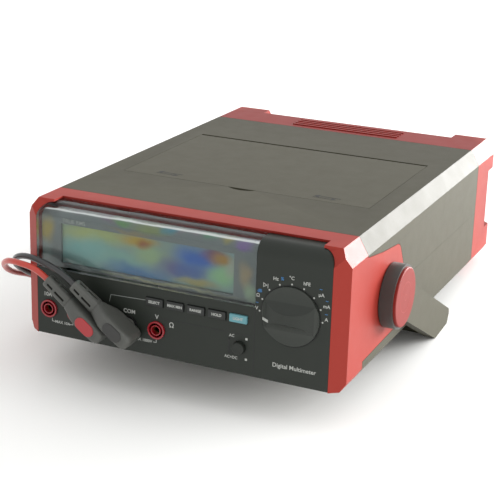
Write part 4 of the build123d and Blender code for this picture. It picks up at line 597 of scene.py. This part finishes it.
def plug_body(place):
    """Moulded plug: a deep rounded head that runs into a slotted strain relief."""
    work = bmesh.new()
    rows = []
    for along, half, front, back, square in PLUG_STATIONS:
        row = []
        for step in range(PLUG_SIDES):
            angle = 2 * math.pi * step / PLUG_SIDES
            c, s = math.cos(angle), math.sin(angle)
            across = half * math.copysign(abs(c) ** (2 / square), c)
            depth = (front + back) / 2 + (back - front) / 2 * math.copysign(abs(s) ** (2 / square), s)
            row.append(work.verts.new(plug_point(place, along, across, depth)))
        rows.append(row)
    for lower, upper in zip(rows, rows[1:]):
        for here in range(PLUG_SIDES):
            after = (here + 1) % PLUG_SIDES
            work.faces.new((lower[here], lower[after], upper[after], upper[here]))
    work.faces.new(rows[0])
    work.faces.new(rows[-1][::-1])
    return work


def box_work(place, low, high):
    """A box along a plug's axis, from corner low to corner high (along, across, y)."""
    work = bmesh.new()
    corners = []
    for along in (low[0], high[0]):
        for across in (low[1], high[1]):
            corners += [work.verts.new(plug_point(place, along, across, y)) for y in (low[2], high[2])]
    for face in ((0, 1, 3, 2), (4, 6, 7, 5), (0, 4, 5, 1), (2, 3, 7, 6), (0, 2, 6, 4), (1, 5, 7, 3)):
        work.faces.new([corners[i] for i in face])
    return work


def sleeve(work, place):
    """Touch-proof sleeve that enters the socket."""
    deep_end = facing(JACK_FIRST_X + place * JACK_PITCH, 11.4, JACK_Z)
    ring(work, 4.0, 1.1, deep_end, 19.2, sides=40)


# Slots of the strain relief: one in the front face, one in each edge, in two rows.
SLOTS = (((22.5, -0.75, -24.0), (30.5, 0.75, -19.0)), ((32.5, -0.7, -24.0), (37.2, 0.7, -19.0)),
         ((22.5, -6.0, -17.7), (30.5, -2.6, -16.3)), ((32.5, -6.0, -17.7), (37.2, -2.6, -16.3)),
         ((22.5, 2.6, -17.7), (30.5, 6.0, -16.3)), ((32.5, 2.6, -17.7), (37.2, 6.0, -16.3)))

plugs = {}
for colour, place in (("red", 2), ("black", 3)):
    mesh = from_bmesh(f"{colour}_plug_body", plug_body(place))
    made = bpy.data.objects.new(f"{colour}_plug_body", mesh)
    bpy.context.scene.collection.objects.link(made)
    cutters = []
    for low, high in SLOTS:
        cutter = bpy.data.objects.new("slot", from_bmesh("slot", box_work(place, low, high)))
        bpy.context.scene.collection.objects.link(cutter)
        cut = made.modifiers.new("slot", "BOOLEAN")
        cut.object = cutter
        cut.solver = "EXACT"
        cutters.append(cutter)
    bpy.context.view_layer.update()
    final = bpy.data.meshes.new_from_object(made.evaluated_get(bpy.context.evaluated_depsgraph_get()))
    bpy.data.objects.remove(made)
    for cutter in cutters:
        bpy.data.objects.remove(cutter)
    work = bmesh.new()
    work.from_mesh(final)
    sleeve(work, place)
    final = from_bmesh(f"{colour}_plug_moulding", work)
    plug = piece(f"{colour}_plug_moulding", final, plug_grey, "root")
    final.set_sharp_from_angle(angle=math.radians(38))
    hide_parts(f"{colour}_plug")
    plugs[colour] = plug

# Route points of the leads, in millimetres of the model's own frame, floor at Z = 0.
FLOOR_Z = CORD_R + 0.05
COIL_X, COIL_Y, COIL_MID_R = -150.0, 101.0, 22.0
COIL_H = 7.9
ENTRY_X = COIL_X + COIL_MID_R
ROUTES = {
    "red": (2, [
        (-102.5, -164.4, 80.4), (-113.5, -161.0, 79.0), (-122.5, -154.0, 72.8), (-127.0, -144.0, 63.8),
        (-129.6, -131.5, 56.2), (-131.0, -116.0, 48.8), (-133.5, -98.0, 38.0), (-136.5, -79.0, 23.5),
        (-138.4, -58.0, 9.0), (-139.0, -35.0, FLOOR_Z + 0.1), (-140.2, -8.0, FLOOR_Z),
        (-138.5, 21.0, FLOOR_Z + 0.4),
        (-134.0, 47.0, 4.6), (-129.0, 73.0, COIL_H + 2.4),
    ], [
        (-165.0, 125.0, COIL_H + 2.0), (-180.0, 127.0, 4.2), (-192.0, 122.0, 2.4), (-195.8, 109.0, 3.4),
        (-196.0, 93.0, 5.0),
    ]),
    "black": (3, [
        (-86.0, -159.2, 80.4), (-100.6, -156.6, 82.4), (-113.6, -152.4, 78.6), (-121.6, -143.4, 68.6),
        (-123.4, -130.0, 58.0), (-124.6, -114.5, 48.0), (-125.8, -96.0, 35.0), (-127.6, -76.0, 19.0),
        (-129.2, -53.0, 4.6), (-130.0, -27.0, FLOOR_Z), (-129.4, 5.0, FLOOR_Z + 0.1), (-130.0, 37.0, FLOOR_Z),
        (ENTRY_X - 0.4, 69.0, FLOOR_Z + 0.1),
    ], [
        (-164.0, 123.5, 3.0), (-177.0, 119.0, FLOOR_Z + 0.6), (-182.6, 107.0, 3.4), (-183.0, 93.0, 5.0),
    ]),
}
TURN_STEPS = 16
# Height and radius of each turn's middle: two turns side by side below, two above.
LOW, HIGH = 1.98, 5.93
WIDE, TIGHT = 24.1, 20.0
TURNS = ((LOW, WIDE), (LOW, TIGHT), (HIGH, TIGHT), (HIGH, WIDE), (HIGH, WIDE))


def ease(share):
    return share * share * (3 - 2 * share)


def coil_points(base):
    """Four and a quarter turns, from the right-hand side round to the back."""
    made = []
    total = int(4.25 * TURN_STEPS)
    for step in range(total + 1):
        turn, rest = divmod(step, TURN_STEPS)
        z0, r0 = TURNS[turn]
        z1, r1 = TURNS[min(turn + 1, len(TURNS) - 1)]
        share = ease(max(0.0, (rest / TURN_STEPS - 0.7) / 0.3))
        height = z0 + (z1 - z0) * share
        radius = r0 + (r1 - r0) * share
        angle = 2 * math.pi * step / TURN_STEPS
        made.append((COIL_X + radius * math.cos(angle), COIL_Y + radius * math.sin(angle), base + height))
    return made


for colour, (place, arriving, leaving) in ROUTES.items():
    base = COIL_H + 0.05 if colour == "red" else 0.05
    points = [plug_point(place, along, 0, -CORD_DEPTH) for along in (PLUG_TAIL - 1.0, PLUG_TAIL + 9)]
    points += [Vector(p) * MM for p in (*arriving, *coil_points(base), *leaving)]
    curve = bpy.data.curves.new(f"{colour}_lead", "CURVE")
    curve.dimensions = "3D"
    curve.resolution_u = 8
    curve.bevel_depth = CORD_R * MM
    curve.bevel_resolution = 5
    curve.use_fill_caps = True
    spline = curve.splines.new("NURBS")
    spline.points.add(len(points) - 1)
    for point, spot in zip(spline.points, points):
        point.co = (*spot, 1.0)
    spline.order_u = 3
    spline.use_endpoint_u = True
    curve.materials.append(lead_red if colour == "red" else lead_black)
    lead = bpy.data.objects.new(f"{colour}_lead", curve)
    bpy.context.scene.collection.objects.link(lead)
    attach(lead, "root")
    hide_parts(f"{colour}_cord", f"{colour}_coil")
    on_it = [plugs[colour], f"{colour}_plug_inlay", f"{colour}_probe"]
    if colour == "red":
        on_it += ["lead_metal"]

# ---------------------------------------------------------------- room


def plane_mesh(name, corners):
    work = bmesh.new()
    work.faces.new([work.verts.new(c) for c in corners])
    return from_bmesh(name, work)


floor_material = plastic("studio_paper_white", "#fdfdfb", 0.9, cloud=0.0, specular=0.1)
FLOOR_REACH = 6            # metres each way
sweep = [(x * FLOOR_REACH, y * FLOOR_REACH, 0) for x, y in ((-1, -1), (1, -1), (1, 1), (-1, 1))]
floor = bpy.data.objects.new("studio_floor", plane_mesh("studio_floor", sweep))
floor.data.materials.append(floor_material)
bpy.context.scene.collection.objects.link(floor)

world = bpy.data.worlds.new("studio")
bpy.context.scene.world = world
world.use_nodes = True
world.node_tree.nodes["Background"].inputs["Color"].default_value = paint("#ffffff")
world.node_tree.nodes["Background"].inputs["Strength"].default_value = 1.0
bpy.context.scene.view_settings.view_transform = "Standard"


def softbox(name, centre, aim, wide, high, power):
    lamp = bpy.data.lights.new(name, "AREA")
    lamp.shape = "RECTANGLE"
    lamp.size = wide
    lamp.size_y = high
    lamp.energy = power
    stand = bpy.data.objects.new(name, lamp)
    stand.matrix_world = (Vector(centre) - Vector(aim)).to_track_quat("Z", "Y").to_matrix().to_4x4()
    stand.location = centre
    bpy.context.scene.collection.objects.link(stand)


softbox("softbox_behind", (1.3, 1.7, 0.34), (0.1, 0, 0.05), 1.9, 0.66, 105)
softbox("softbox_right", (1.7, 0.1, 0.9), (0, 0, 0.05), 1.2, 1.0, 10)
